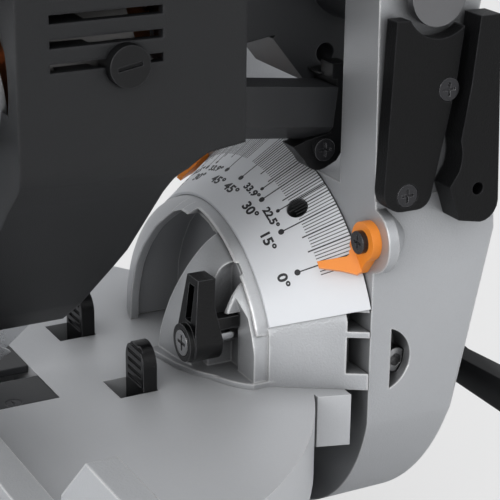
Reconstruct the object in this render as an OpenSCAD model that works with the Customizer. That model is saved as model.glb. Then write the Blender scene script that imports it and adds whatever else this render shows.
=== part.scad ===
// Dual-bevel mitre saw: a circular saw on a turning table, tilted by a bevel joint at its rear.
// X is the operator's right, Y points to the rear, Z is up, and the bench is Z = 0.
// The origin is on the bench plane, on the vertical axis about which the table turns.

/* [Base and table] */
// Height of the table's surface above the bench
table_h = 98; // [94:1:112]
// Radius of the turning table
table_r = 165; // [160:1:168]
// Half of the width across the two side tables
base_half = 276; // [268:2:290]
// Depth of a side table in front of the fence's face
wing_front = 78; // [60:1:84]
// Depth of a side table behind the fence's face
wing_back = 32; // [28:1:34]
// Thickness of the table tops
top_t = 9; // [8:1:11]
// Height of the rubber feet
foot_h = 6; // [4:1:8]
// Radius of the rubber feet
foot_r = 16; // [14:1:18]
// Distance of the bench bolts from the middle, across
bolt_x = 205; // [190:1:215]
// Distance of the bench bolts from the middle, front to back
bolt_y = 118; // [110:1:124]
// Radius of the holes for the bench bolts
bench_hole_r = 4.5; // [3.5:0.5:5.5]

/* [Fence] */
// Height of the fixed fence above the table
fence_h = 20; // [18:1:20]
// Thickness of the fence's wall
fence_t = 12; // [11:1:14]
// Distance from the blade to the inner end of the fixed fence
fence_in = 38; // [36:1:50]
// Height of the sliding fence above the fixed one
slide_h = 42; // [30:1:44]
// Distance from the blade to the inner end of the sliding fence when it is pulled out
slide_in = 177; // [177:1:185]

/* [Bevel joint] */
// Distance from the table's turning axis back to the rear rim of the bevel scale
bevel_y = 170; // [170:1:176]
// Radius of the bevel scale at its rear rim
scale_r = 85; // [84:0.5:87]
// Width of the bevel scale along the bevel axis
scale_w = 34; // [32:1:36]
// Slope of the scale's cone against the bevel axis
cone_a = 33.4; // [31:0.2:35]
// Thickness of the scale's sheet
scale_t = 1.4; // [1:0.1:2]
// Angle from the top to the zero mark and to its pointer
zero_a = 50; // [48:1:52]
// Angle from the top to the lower end of the scale
scale_end_a = 65.8; // [63:0.2:68]
// How far the dome stands out in front of the scale
dome_l = 33; // [30:1:36]
// Wall of the dome
dome_t = 6; // [5:0.5:7]
// Radius of the bevel bolt
bevel_bolt_r = 8; // [6:0.5:10]
// Half of the width across the flat sides of the bevel arm
arm_half = 77; // [76:0.5:78]

/* [Head] */
// Height of the chopping pivot above the table
pivot_z = 158; // [156:1:164]
// Distance of the chopping pivot behind the scale's rear rim
pivot_y = 22; // [20:1:24]
// Radius of the chopping pivot's shaft
pivot_r = 8; // [6:0.5:9]
// Distance from the scale's rear rim forward to the blade's axis
blade_y = 212; // [210:1:216]
// Height of the blade's axis above the table
blade_z = 133; // [132:1:136]
// Radius of the blade
blade_r = 152.5; // [150:0.5:153]
// Thickness of the blade
blade_t = 2.4; // [1.6:0.2:2.8]
// Radius of the arbor
arbor_r = 7.94; // [7:0.02:9]
// Room between the blade's rim and the outside of the fixed guard
guard_room = 11.5; // [11:0.5:12.5]
// Half of the width of the fixed blade guard
guard_half = 17; // [16:0.5:18]
// Angle of the underside that keeps the motor clear of the table when tilted
clear_a = 48; // [46:1:49]
// Tilt of the motor's axis, up towards the rear
motor_tilt = 10; // [8:1:12]
// Distance from the blade to the motor's axis
motor_x = 60; // [59:1:61]

/* [Clearance] */
// Gap between parts that slide or turn on each other
gap = 0.3; // [0.2:0.05:0.4]
// Radial clearance of a shaft in its bore
run = 0.05; // [0.02:0.01:0.08]

/* [Hidden] */
$fn = 64;
eps = 0.01;
table_z = table_h;
r_in = table_r + 2.5;
guard_r = blade_r + guard_room;
skirt_h = 28;
ring_top = table_h - skirt_h - gap;
ring_w = 15;
floor_t = 8;
ear_top = foot_h + 10;
scale_ring_r = table_r + 35;
scale_ring_top = table_h - 32;
mitre_max = 50;
mitre_bolt_r = 8;
mitre_arm_half = 35;
mitre_arm_y = 262;
mitre_arm_z = scale_ring_top + 6;
kerf_half = 24;
kerf_front = 140;
kerf_back = 58;
kerf_plate_t = 3;
kerf_gap = 5.5;
trough_floor = table_h - 38;
tongue_half = 80;
tongue_y = bevel_y - 20;
drum_block_r = 46;
slope = tan(cone_a);
front_r = scale_r - scale_t - slope * scale_w;
web_back = 8;
pocket_y = -7.7;
pocket_x = 62;
lever_x = 37;
lever_z = 17;
lever_y = -60.5;
tab_x = 31.5;
tab_y = -78;
tab_w = 17;
tab_t = 6;
tab_travel = 9;
blade_c = [-blade_y, blade_z];
gear_x0 = guard_half + gap;
motor_r = 43;
front_wall_y = blade_c[0] - 34;

// Places in the bevel joint's own frame: on the bevel axis, at the scale's rear rim.
module at_bevel() { translate([0, bevel_y, table_z]) children(); }
// Extrudes an outline drawn in (y, z) along X.
module along_x(x0, x1) { translate([x0, 0, 0]) rotate([90, 0, 90]) linear_extrude(x1 - x0) children(); }
// Extrudes an outline drawn in (x, z) along Y.
module along_y(y0, y1) { translate([0, y1, 0]) rotate([90, 0, 0]) linear_extrude(y1 - y0) children(); }
module x_cyl(r, x0, x1) { translate([x0, 0, 0]) rotate([0, 90, 0]) cylinder(r = r, h = x1 - x0); }
module y_cyl(r, y0, y1) { translate([0, y0, 0]) rotate([-90, 0, 0]) cylinder(r = r, h = y1 - y0); }
// Spins an outline drawn in (radius, y) about the Y axis.
module round_y() { rotate([-90, 0, 0]) rotate_extrude($fn = 128) children(); }
module both_sides() { children(); mirror([1, 0, 0]) children(); }
module rounded_square(w, h, r) {
    translate([r, r]) union() {
        translate([-r, 0]) square([w, h - 2 * r]);
        translate([0, -r]) square([w - 2 * r, h]);
        for (x = [0, w - 2 * r], y = [0, h - 2 * r]) translate([x, y]) circle(r);
    }
}
// Points of an arc about c, from angle a0 to angle a1.
function arc(c, r, a0, a1, n = 12) =
    [for (i = [0:n]) let (a = a0 + (a1 - a0) * i / n) c + r * [cos(a), sin(a)]];
// A sector of a ring about the Z axis, from angle a0 to a1.
module sector(r0, r1, a0, a1) {
    polygon(concat(arc([0, 0], r1, a0, a1, 32), arc([0, 0], r0, a1, a0, 32)));
}

// ---------- base ----------
module wing() {
    wall = 6;
    difference() {
        translate([0, -wing_front, foot_h]) cube([base_half, wing_front + wing_back, table_h - foot_h]);
        translate([0, 0, -eps]) cylinder(r = r_in, h = table_h + 1);
        translate([r_in + wall, wall - wing_front, -eps])
            cube([base_half - r_in - 2 * wall, wing_front + wing_back - 2 * wall, table_h - top_t]);
        translate([0, wall - wing_front, -eps])
            cube([r_in + wall - eps, wing_front + wing_back - 2 * wall, table_h - 40]);
        for (x = fence_bolt_x) translate([x, fence_t / 2, table_h - top_t - 1]) cylinder(r = 3, h = top_t + 2);
    }
}
fence_bolt_x = [slide_in + 4, base_half - 14];
module ear(x, y) {
    difference() {
        hull() {
            translate([x, y, foot_h]) cylinder(r = 22, h = ear_top - foot_h, $fn = 32);
            translate([x * 0.62, y * 0.72, foot_h]) cylinder(r = 24, h = ear_top - foot_h, $fn = 32);
        }
        cylinder(r = table_r - ring_w, h = table_h);
        translate([x, y, 0]) cylinder(r = bench_hole_r, h = 40);
    }
}
module base_casting() {
    color("silver") difference() {
        union() {
            translate([0, 0, foot_h]) cylinder(r = table_r, h = floor_t);
            translate([0, 0, foot_h]) linear_extrude(ring_top - foot_h) difference() {
                circle(table_r);
                circle(table_r - ring_w);
            }
            translate([0, 0, foot_h]) linear_extrude(scale_ring_top - foot_h) sector(table_r - 2, scale_ring_r, -152, -28);
            both_sides() wing();
            for (x = [-1, 1], y = [-1, 1]) ear(x * bolt_x, y * bolt_y);
            translate([0, 0, foot_h]) cylinder(r = 26, h = 46);
            for (a = [0:60:300]) rotate(a) translate([20, -3, foot_h]) cube([table_r - ring_w - 16, 6, 26]);
        }
        // the ring is low behind, where the drum swings over it
        translate([0, 0, table_h - drum_block_r - 2]) linear_extrude(table_h) sector(table_r - 30, table_r + 1, 16, 164);
        translate([0, 0, -1]) cylinder(r = mitre_bolt_r + run, h = 80);
        translate([0, 0, foot_h - eps]) linear_extrude(scale_ring_top - foot_h - 8 + eps) sector(table_r + 6, scale_ring_r - 6, -148, -32);
        for (x = [-1, 1], y = [-1, 1]) translate([x * bolt_x, y * bolt_y, 0]) cylinder(r = bench_hole_r, h = 40);
    }
}
module rubber_feet() {
    color("#202020") for (x = [-1, 1], y = [-1, 1]) translate([x * bolt_x, y * bolt_y, 0]) difference() {
        cylinder(r = foot_r, h = foot_h);
        translate([0, 0, -1]) cylinder(r = bench_hole_r, h = foot_h + 2);
    }
}
module mitre_scale() {
    color("gainsboro") translate([0, 0, scale_ring_top]) linear_extrude(1.5) difference() {
        sector(table_r + 6, scale_ring_r - 1, -148, -32);
        for (a = [-140:5:-40]) rotate(a) translate([scale_ring_r - 4, -2]) square([5, 4]);
    }
}
module mitre_pivot_bolt() {
    color("dimgray") {
        translate([0, 0, foot_h - 4]) cylinder(r = 14, h = 4);
        translate([0, 0, foot_h - eps]) cylinder(r = mitre_bolt_r, h = trough_floor - foot_h);
    }
}
module fence_half() {
    difference() {
        union() {
            translate([fence_in, 0, table_h]) cube([base_half - 4 - fence_in, fence_t, fence_h]);
        }
        translate([fence_in - 1, -1, table_h - 1]) cube([r_in + 1 - fence_in, wing_back, 1 + 2 * gap]);
        for (x = fence_bolt_x) translate([x, fence_t / 2, table_h - 1]) cylinder(r = 3, h = fence_h + 2);
        for (x = fence_bolt_x) translate([x, fence_t / 2, table_h + fence_h - 8]) cylinder(r = 5.2, h = 9);
        translate([slide_knob_x, -1, fence_mid]) y_cyl(3 + run, 0, fence_t + 4);
        translate([slide_knob_x, -1, fence_mid]) y_cyl(6.5, 0, 5);
    }
}
slide_knob_x = 216;
fence_mid = table_h + fence_h - 8;
slide_leg_y = fence_t + gap;
slide_travel = 60;
module slide_fence() {
    leg_t = 5;
    difference() {
        union() {
            translate([slide_in, 0, table_h + fence_h + gap]) cube([base_half - 6 - slide_in, 10, slide_h]);
            translate([slide_in, 0, table_h + fence_h + gap]) cube([base_half - 6 - slide_in, slide_leg_y + leg_t, 6]);
            translate([slide_in + 30, slide_leg_y, table_h + 5]) cube([base_half - 36 - slide_in, leg_t, fence_h]);
        }
        along_y(-1, 30) polygon([[slide_in - 1, table_h + fence_h + slide_h - 20],
            [slide_in + 20, table_h + fence_h + slide_h + 1], [slide_in - 1, table_h + fence_h + slide_h + 1]]);
        along_y(fence_t, fence_t + 10) translate([slide_knob_x - 3.4, fence_mid - 3.4])
            rounded_square(slide_travel + 6.8, 6.8, 3.39);
    }
}
module fence_knob() {
    y0 = slide_leg_y + 5 + gap;
    translate([slide_knob_x, 0, fence_mid]) {
        y_cyl(3, 3.7, y0 + eps);
        y_cyl(6, 1, 3.8);
        y_cyl(9, y0, y0 + 4);
        difference() {
            y_cyl(11, y0 + 4 - eps, y0 + 16);
            for (a = [0:60:300]) rotate([0, a, 0]) translate([13, 0, 0]) y_cyl(3.5, y0, y0 + 20);
        }
    }
}
module fence_right() { color("silver") fence_half(); }
module fence_left() { color("silver") mirror([1, 0, 0]) fence_half(); }
module fence_bolts() {
    color("dimgray") both_sides() for (x = fence_bolt_x) translate([x, fence_t / 2, table_h]) {
        translate([0, 0, -top_t]) cylinder(r = 2.95, h = fence_h - 8 + top_t);
        difference() {
            translate([0, 0, fence_h - 8]) cylinder(r = 5, h = 6);
            translate([0, 0, fence_h - 5]) cylinder(r = 2.9, h = 6, $fn = 6);
        }
    }
}
module slide_fence_right() { color("silver") slide_fence(); }
module slide_fence_left() { color("silver") mirror([1, 0, 0]) slide_fence(); }
module fence_knob_right() { color("#222222") fence_knob(); }
module fence_knob_left() { color("#222222") mirror([1, 0, 0]) fence_knob(); }

// ---------- turning table ----------
// Plan of the drum's flat flanks: they follow the end line of the scale.
function flank_x(y) = (scale_r + slope * y) * sin(scale_end_a);
module flank_plan(grow = 0) {
    polygon([[-flank_x(0) - grow, 0], [-flank_x(-scale_w) - grow, -scale_w], [-flank_x(-scale_w) - grow, -90],
        [flank_x(-scale_w) + grow, -90], [flank_x(-scale_w) + grow, -scale_w], [flank_x(0) + grow, 0]]);
}
module tongue_plan() {
    translate([0, bevel_y]) difference() {
        flank_plan(4);
        translate([-100, -20]) square([200, 30]);
    }
    for (s = [-1, 1]) polygon([[s * 48, tongue_y - 1], [s * 74, tongue_y - 1], [s * 78, bevel_y - 8], [s * 48, bevel_y - 8]]);
}
module turntable() {
    color("silver") difference() {
        union() {
            translate([0, 0, table_h - top_t]) cylinder(r = table_r, h = top_t, $fn = 128);
            translate([0, 0, table_h - skirt_h]) linear_extrude(skirt_h) difference() {
                circle(table_r);
                circle(table_r - 8);
            }
            translate([-kerf_half - 5, -kerf_front - 4, trough_floor - 5])
                cube([2 * kerf_half + 10, kerf_front + kerf_back + 8, table_h - trough_floor + 4]);
            translate([0, 0, foot_h + 46 + gap]) cylinder(r = 26, h = trough_floor - foot_h - 46 - gap);
            for (a = [30:60:330]) rotate(a) translate([26, -2.5, table_h - skirt_h]) cube([table_r - 30, 5, skirt_h]);
            translate([-mitre_arm_half, -mitre_arm_y, mitre_arm_z])
                cube([2 * mitre_arm_half, mitre_arm_y - table_r + 12, table_h - mitre_arm_z]);
            translate([0, 0, table_h - 22]) linear_extrude(22) tongue_plan();
        }
        translate([0, 0, -1]) cylinder(r = mitre_bolt_r + run, h = table_h - 20);
        // the trough under the blade, and the seats of the kerf plates
        translate([-kerf_half, -kerf_front, trough_floor]) cube([2 * kerf_half, kerf_front + kerf_back, table_h]);
        translate([-kerf_half - 5, -kerf_front, table_h - kerf_plate_t])
            cube([2 * kerf_half + 10, kerf_front + kerf_back, table_h]);
        // hollow underside of the mitre arm
        translate([-mitre_arm_half + 6, -mitre_arm_y + 8, mitre_arm_z - 1])
            cube([2 * mitre_arm_half - 12, mitre_arm_y - table_r - 4, table_h - mitre_arm_z - 7]);
        // slots of the two sliding tabs
        both_sides() {
            translate([tab_x - tab_w / 2 - 0.4, bevel_y + tab_y - 13, table_h - 40]) cube([tab_w + 0.8, 16.5, 60]);
            translate([tab_x - 14, bevel_y + tab_y - 19, table_h - 40]) cube([28, 26, 40 - top_t]);
        }
        at_bevel() {
            y_cyl(drum_block_r + gap, -20 - gap, 30);
            y_cyl(14.5, -27, -19);
        }
        // slot and hinge holes of the detent lever
        translate([-9, -mitre_arm_y - 1, mitre_arm_z - 1]) cube([18, 40, 14]);
        translate([0, 0, mitre_arm_z + 6]) translate([0, -mitre_arm_y + 14, 0]) x_cyl(3 + run, -20, 20);
        translate([0, -mitre_arm_y + 44, lock_z]) y_cyl(5 + run, -60, 10);
    }
}
lock_z = mitre_arm_z + 17;
module kerf_plates() {
    color("#3a3b3d") both_sides() difference() {
        translate([kerf_gap, -kerf_front + gap, table_h - kerf_plate_t])
            cube([kerf_half + 5 - gap - kerf_gap, kerf_front + kerf_back - 2 * gap, kerf_plate_t]);
        for (y = kerf_screw_y) translate([kerf_half + 1.5, y, table_h - kerf_plate_t - 1]) cylinder(r = 2, h = 6);
        for (y = kerf_screw_y) translate([kerf_half + 1.5, y, table_h - 1.2]) cylinder(r = 3.3, h = 2);
    }
}
kerf_screw_y = [-126, -43, 40];
module kerf_screws() {
    color("dimgray") both_sides() for (y = kerf_screw_y) translate([kerf_half + 1.5, y, table_h - kerf_plate_t]) {
        cylinder(r = 1.95, h = kerf_plate_t - 1);
        difference() {
            translate([0, 0, kerf_plate_t - 1.2]) cylinder(r = 3.2, h = 1.1);
            translate([-2.2, -0.4, kerf_plate_t - 0.7]) cube([4.4, 0.8, 2]);
        }
    }
}
module mitre_lock_knob() {
    y0 = -mitre_arm_y - gap;
    color("#222222") translate([0, 0, lock_z]) {
        y_cyl(5, -mitre_arm_y + 8, -mitre_arm_y + 52);
        y_cyl(5, y0 - 6, -mitre_arm_y + 9);
        y_cyl(12, y0 - 8, y0);
        difference() {
            y_cyl(22, y0 - 44, y0 - 8 + eps);
            for (a = [30:60:330]) rotate([0, a, 0]) translate([25, 0, 0]) y_cyl(6.5, y0 - 50, y0 - 4);
        }
    }
}
module detent_lever() {
    color("#222222") translate([0, -mitre_arm_y + 14, mitre_arm_z + 6]) difference() {
        union() {
            x_cyl(5.5, -8.7, 8.7);
            translate([-8.7, -44, -16]) cube([17.4, 44, 4]);
            translate([-8.7, -6, -16]) cube([17.4, 9, 16]);
            translate([-3, 0, -4]) cube([6, 22, 5]);
            translate([-2, 16, -9]) cube([4, 6, 6]);
        }
        x_cyl(3 + run, -10, 10);
    }
    color("dimgray") translate([0, -mitre_arm_y + 14, mitre_arm_z + 6]) x_cyl(3, -19, 19);
}
module mitre_pointer() {
    color("orangered") translate([-3, -scale_ring_r + 8, scale_ring_top + 2]) {
        cube([6, 24, mitre_arm_z - scale_ring_top - 2]);
    }
}

// ---------- bevel joint, fixed half ----------
function dome_at(r, l) = -scale_w - l * sqrt(max(0, 1 - pow(r / front_r, 2)));
function dome_web(r) = -scale_w + 1 - (dome_l - web_back) * sqrt(max(0, 1 - pow(r / (front_r - 1), 2)));
dome_n = 14;
dome_r = [for (i = [0:dome_n]) front_r * sin(90 * i / dome_n)];
module on_cone(a, y) { rotate([0, a, 0]) translate([0, y, scale_r + slope * y]) rotate([cone_a, 0, 0]) children(); }
module drum_outer() {
    intersection() {
        round_y() polygon(concat([for (r = dome_r) [r, dome_at(r, dome_l)]], [[scale_r - scale_t, 0], [0, 0]]));
        linear_extrude(scale_r + 5) flank_plan();
    }
}
// Takes the dome's left half back to a flatter dome, in two steps.
module left_cut(l, x1) {
    intersection() {
        round_y() polygon(concat([for (r = dome_r) if (r < front_r - 0.2) [r, dome_at(r, l)]],
            [[front_r + 0.3, -scale_w - 0.5], [front_r + 0.5, -scale_w - 80], [0, -scale_w - 80]]));
        translate([-100, -100, -1]) cube([100 + x1, 100, 100]);
    }
}
module drum_web_cut() {
    web_r = front_r - 1;
    intersection() {
        round_y() polygon(concat([for (r = dome_r) if (r < web_r) [r, dome_web(r)]], [[web_r, -scale_w + 1]],
            [[web_r + 0.2, -scale_w - 80], [0, -scale_w - 80]]));
        translate([4, -100, -1]) cube([100, 100, 100]);
    }
}
// Hollow behind the dome, beside the opening for the chips.
hollow_y = -28;
dome_left = dome_l - 9;
module drum_hollow(skin = 4) {
    r_h = front_r - skin;
    intersection() {
        round_y() polygon(concat([for (i = [0:dome_n]) let (r = r_h * sin(90 * i / dome_n))
            [r, -scale_w - (dome_left - skin) * sqrt(max(0, 1 - pow(r / r_h, 2)))]], [[r_h, hollow_y], [0, hollow_y]]));
        along_y(-90, hollow_y) translate([-5, 0]) drum_opening();
    }
}
// Outline of the opening for the blade, drawn in (x, z).
module drum_opening() {
    top = front_r - 3;
    polygon(concat([[4, -1], [5.6, 9.6], [10.5, 25.3], [15.4, 38.2], [17.8, 45], [19.1, 49]],
        arc([0, 0], top, 69, 92, 6), [[-10, 55], [-19, 46], [-26, 35], [-30, 25], [-31.5, 12], [-31.5, -1]]));
}
lever_back = 47;
recess_z = 2.4;
module lever_recess() {
    // oblong pocket behind the lever, the facet beside it, and the open strip along the flank
    along_y(-90, -38) translate([32.5, recess_z]) square([9.5, 42.5 - recess_z]);
    translate([37.25, 0, 42.5]) y_cyl(4.75, -90, -38);
    translate([41.9, -90, recess_z]) cube([2, 50, 28.6 - recess_z]);
    along_x(43.5, 62) polygon([[-90, recess_z], [-40, recess_z], [-40, 28], [-44, 41], [-47, 50], [-90, 50]]);
    along_y(-90, -34) polygon([[56, recess_z], [62, recess_z], [62, 40], [49, 44], [54, 34], [56, 24]]);
    translate([lever_x, 0, lever_z]) {
        y_cyl(9.2, -90, -lever_back);
        y_cyl(16.2, -90, -lever_back - 1.8);
    }
}
module base_plinth() {
    linear_extrude(recess_z) polygon([[3, -63], [23, -59.5], [34, -55.5], [48, -46.5], [57, -34.5], [64.5, -20.5],
        [3, -20.5]]);
}
module bevel_drum() {
    color("silver") at_bevel() difference() {
        union() {
            difference() {
                drum_outer();
                drum_web_cut();
                left_cut(dome_l - 4.5, -2);
                left_cut(dome_left, -9);
                lever_recess();
            }
            y_cyl(drum_block_r, -20, 0);
            base_plinth();
            mirror([1, 0, 0]) translate([0, 4, 0]) base_plinth();
        }
        drum_hollow();
        along_y(-90, hollow_y) drum_opening();
        y_cyl(bevel_bolt_r + run, -50, 10);
        y_cyl(14.2, -50, -20);
        translate([lever_x, 0, lever_z]) y_cyl(3 + run, -60, 10);
        // groove and ribbed pockets on the flanks
        both_sides() {
            translate([0, -18, 6]) rotate([0, 0, atan(slope * sin(scale_end_a))]) translate([67.5, -13, 0]) cube([6, 10, 22]);
            for (z = [-20, 7, 25]) translate([pocket_x, pocket_y, z]) cube([20, 20, z == 25 ? 8 : 15.5]);
        }
        // hole through the scale's seat
        on_cone(scale_hole_a, scale_hole_y) translate([0, 0, -20]) cylinder(r = 4.5, h = 30);
    }
}
scale_hole_a = 30;
scale_hole_y = -12;
module drum_liner() {
    color("#1c1c1e") at_bevel() difference() {
        union() {
            difference() {
                drum_hollow(4.4);
                along_y(-90, hollow_y - 2) translate([-3.4, -1.6]) drum_opening();
            }
            along_y(hollow_y - 2, hollow_y - eps) drum_opening();
        }
        translate([-60, -90, -20]) cube([120, 90, 20 + gap]);
    }
}
seat = 0.2;
module bevel_scale() {
    color("gainsboro") at_bevel() difference() {
        intersection() {
            round_y() polygon([[front_r + seat, -scale_w], [front_r + scale_t, -scale_w], [scale_r, 0], [scale_r - scale_t + seat, 0]]);
            along_y(-scale_w - 1, 1) polygon([[0, 0], [-120 * sin(scale_end_a), 120 * cos(scale_end_a)], [-120, 120],
                [120, 120], [120 * sin(scale_end_a), 120 * cos(scale_end_a)]]);
        }
        on_cone(scale_hole_a, scale_hole_y) translate([0, 0, -20]) cylinder(r = 4.5, h = 30);
    }
}
module bevel_stop_lever() {
    y0 = lever_y;
    color("#1c1c1c") at_bevel() translate([lever_x, 0, lever_z]) difference() {
        union() {
            intersection() {
                along_y(y0 - 1, y0 + 14) union() {
                    circle(8.5);
                    polygon([[-8.4, 1], [-5, 27], [4.8, 27], [8.4, 1]]);
                }
                along_x(-10, 10) polygon([[y0, -10], [y0, 5], [y0 + 2.8, 28], [y0 + 10.4, 28], [y0 + 9.4, 15],
                    [y0 + 12, 2], [y0 + 12, -10]]);
            }
            translate([1, y0 + 9, 5.5]) cube([6, 11, 5]);
            difference() {
                y_cyl(7.8, y0 - 2.2, y0 + 1);
                y_cyl(5.7, y0 - 3, y0);
            }
        }
        translate([-2.6, y0 - 1, 9]) cube([5, 6, 15]);
        y_cyl(3 + run, y0 - 1, y0 + 20);
    }
}
module bevel_stop_screw() {
    y0 = lever_y;
    color("silver") at_bevel() translate([lever_x, 0, lever_z]) difference() {
        union() {
            y_cyl(5.3, y0 - 2.4, y0 - gap / 3);
            y_cyl(2.9, y0 - 1, y0 + 6);
        }
        for (a = [0, 90]) rotate([0, a, 0]) translate([-3.4, y0 - 4, -0.7]) cube([6.8, 2.8, 1.4]);
    }
}
module bevel_stop_pin() {
    color("gainsboro") at_bevel() translate([lever_x, 0, lever_z]) y_cyl(3, lever_y + 12 + gap, -8.2);
}
module table_tab(s) {
    color("#1a1a1a") at_bevel() translate([s * tab_x, tab_y, 0]) difference() {
        union() {
            along_y(-tab_t / 2, tab_t / 2) {
                translate([-tab_w / 2, -10]) square([tab_w, 20.5]);
                intersection() {
                    translate([0, 10]) circle(tab_w / 2);
                    translate([-tab_w / 2, 9]) square([tab_w, 12]);
                }
            }
            translate([-tab_w / 2 - 4, -tab_t / 2 - 2, -top_t - 7]) cube([tab_w + 8, tab_t + 4, 7 - gap]);
        }
        for (z = [1.5:3.6:15.9]) translate([-tab_w / 2 + 2, -tab_t / 2 - 1, z]) cube([tab_w - 4, 2, 1.8]);
    }
}
module table_tab_right() { table_tab(1); }
module table_tab_left() { table_tab(-1); }
module bevel_bolt() {
    color("dimgray") at_bevel() {
        y_cyl(bevel_bolt_r, -26, 62);
        y_cyl(14, -26, -20);
    }
}

// ---------- bevel arm ----------
arm_y = 0.6;
arm_back = 30;
cheek_in = 50;
saddle_r = scale_r + 4;
cheek_top_r = 25;
// Boss of the pointer's screw beside the scale's rear rim.
boss_radial = 97.4;
boss_x = boss_radial * sin(zero_a);
boss_z = boss_radial * cos(zero_a);
boss_r = 13.4;
stop_y = 16.2;
stop_z = 8;
module arm_plan_front() {
    // front view of the arm, drawn in (x, z)
    difference() {
        union() {
            intersection() {
                circle(78.5, $fn = 128);
                translate([-arm_half, -80]) square([2 * arm_half, 80]);
            }
            translate([-arm_half, -1]) square([2 * arm_half, pivot_z - 78]);
            polygon([[-arm_half, 60], [arm_half, 60], [arm_half - 3, pivot_z + 8], [-arm_half + 3, pivot_z + 8]]);
        }
        // the fork between the cheeks
        translate([-cheek_in, 79]) square([2 * cheek_in, pivot_z]);
    }
}
module bevel_arm() {
    color("silver") at_bevel() difference() {
        union() {
            intersection() {
                along_y(arm_y, arm_back + 28) arm_plan_front();
                along_x(-100, 100) polygon(concat([[arm_y, -80], [arm_y, pivot_z - 30], [pivot_y - 22, pivot_z - 10]],
                    arc([pivot_y, pivot_z], cheek_top_r, 150, -20, 10),
                    [[pivot_y + 30, pivot_z - 40], [arm_back + 27, 60], [arm_back + 10, -20], [arm_back, -80]]));
            }
            // bosses that carry the pointers
            both_sides() translate([boss_x, 0, boss_z]) {
                y_cyl(boss_r, arm_y, 5);
                translate([0, 5, 0]) rotate([-90, 0, 0]) cylinder(r1 = boss_r, r2 = boss_r - 7, h = 7);
            }
        }
        // clear the scale and the drum's rear
        round_y() polygon([[0, -60], [scale_r + 1.2 - slope * 60, -60], [scale_r + 1.2, 0], [scale_r + 1.2, arm_y], [0, arm_y]]);
        both_sides() translate([boss_x, 0, boss_z]) y_cyl(2.5, -10, 10);
        y_cyl(bevel_bolt_r + run, -10, 100);
        translate([0, pivot_y, pivot_z]) x_cyl(pivot_r + run, -100, 100);
        // rear hollow between the flat sides
        translate([-arm_half + 15, 14, -30]) cube([2 * arm_half - 30, 60, 70]);
        // D-shaped recesses for the stop bolts
        both_sides() along_x(arm_half - 12, arm_half + 5) {
            intersection() {
                translate([5.9, 11.4]) circle(13.7);
                translate([10.3, -3]) square([12, 30]);
            }
        }
        both_sides() translate([0, stop_y, stop_z]) {
            x_cyl(3, 50, 100);
            x_cyl(5.6, arm_half - 12, arm_half - 4.5);
        }
        // seats of the side covers' screws
        both_sides() for (p = cover_screws) translate([0, p[0], p[1]]) x_cyl(2.5 + run, 60, 100);
        pin_place() x_cyl(4 + run, -100, -40);
    }
    // the seat of the bevel bolt inside the hollow
    color("silver") at_bevel() difference() {
        y_cyl(22, 14 - eps, 40);
        y_cyl(bevel_bolt_r + run, 0, 60);
    }
}
cover_screws = [[10.3, 82], [27, 122]];
// The pointer: a ring on the boss's front, a foot towards the scale, and a tongue over it to the zero mark.
pointer_h = 3.6;
pointer_t = 3.4;
module pointer_foot() {
    // front view, drawn along the rim and outward
    difference() {
        union() {
            translate([0, boss_radial]) circle(7.9);
            polygon([[-5.4, boss_radial - 5.8], [-2.6, 87.4], [9.6, 87.4], [7.7, boss_radial - 1.8], [0, boss_radial]]);
        }
        translate([0, boss_radial]) circle(2.5 + run);
    }
}
module bevel_pointer() {
    rotate([0, zero_a, 0]) along_y(arm_y - pointer_t - 0.6, arm_y) pointer_foot();
    on_cone(zero_a - 0.3, 3) translate([0, 0, pointer_h]) linear_extrude(2.4)
        polygon([[0.3, -19], [2.9, -19.2], [7.3, -10.8], [10.5, -6.1], [10.2, -3.5], [-1, -3.5], [0.6, -5.9], [1.9, -6.2],
            [2.3, -7.4]]);
}
module bevel_pointers() {
    color("darkorange") at_bevel() both_sides() bevel_pointer();
}
module screw_head(r, h) {
    difference() {
        cylinder(r = r, h = h);
        for (a = [0, 90]) rotate(a) translate([-r * 0.6, -r * 0.12, h - 0.9]) cube([r * 1.2, r * 0.24, 2]);
    }
}
module pointer_screws() {
    color("#181818") at_bevel() both_sides() translate([boss_x, arm_y - pointer_t - 0.6, boss_z]) rotate([90, 0, 0]) {
        translate([0, 0, -12]) cylinder(r = 2.45, h = 12.5);
        screw_head(4.6, 2.4);
    }
}
module arm_cover_side() {
    // textured cover on the arm's flat side, with a round lower end
    difference() {
        along_x(arm_half + 0.05, arm_half + 7) difference() {
            union() {
                polygon(concat(arc([8.2, 84.3], 8.5, 180, 270, 6), arc([15, 82], 6.2, 270, 345, 5), [[30, 124], [33, 150], [2.4, 150]]));
            }
            for (p = cover_screws) translate([p[0], p[1]]) circle(2.5 + run);
        }
        for (p = cover_screws) translate([0, p[0], p[1]]) x_cyl(4.7, arm_half + 4.5, arm_half + 9);
    }
}
module arm_cover() {
    color("#2a2a2a") at_bevel() difference() {
        both_sides() arm_cover_side();
        translate([0, pivot_y, pivot_z]) x_cyl(16, -100, 100);
        pin_place() x_cyl(9.6, -100, -60);
    }
}
module cable_cover() {
    color("#151515") at_bevel() difference() {
        along_x(arm_half, arm_half + 11) polygon(concat([[46, 150], [50, 76]], arc([42, 76], 8, 0, -90, 5),
            [[32, 70], [27, 84]], arc([14, 96], 18, -20, 20, 5), [[34.5, 124], [37, 150]]));
        translate([0, 40, 82]) x_cyl(2.5 + run, 60, 100);
    }
}
module arm_screws() {
    color("#181818") at_bevel() both_sides() for (p = cover_screws) translate([arm_half, p[0], p[1]]) rotate([0, 90, 0]) {
        translate([0, 0, -6]) cylinder(r = 2.45, h = 10.6);
        translate([0, 0, 4.5]) screw_head(4.5, 2.4);
    }
}
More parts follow.
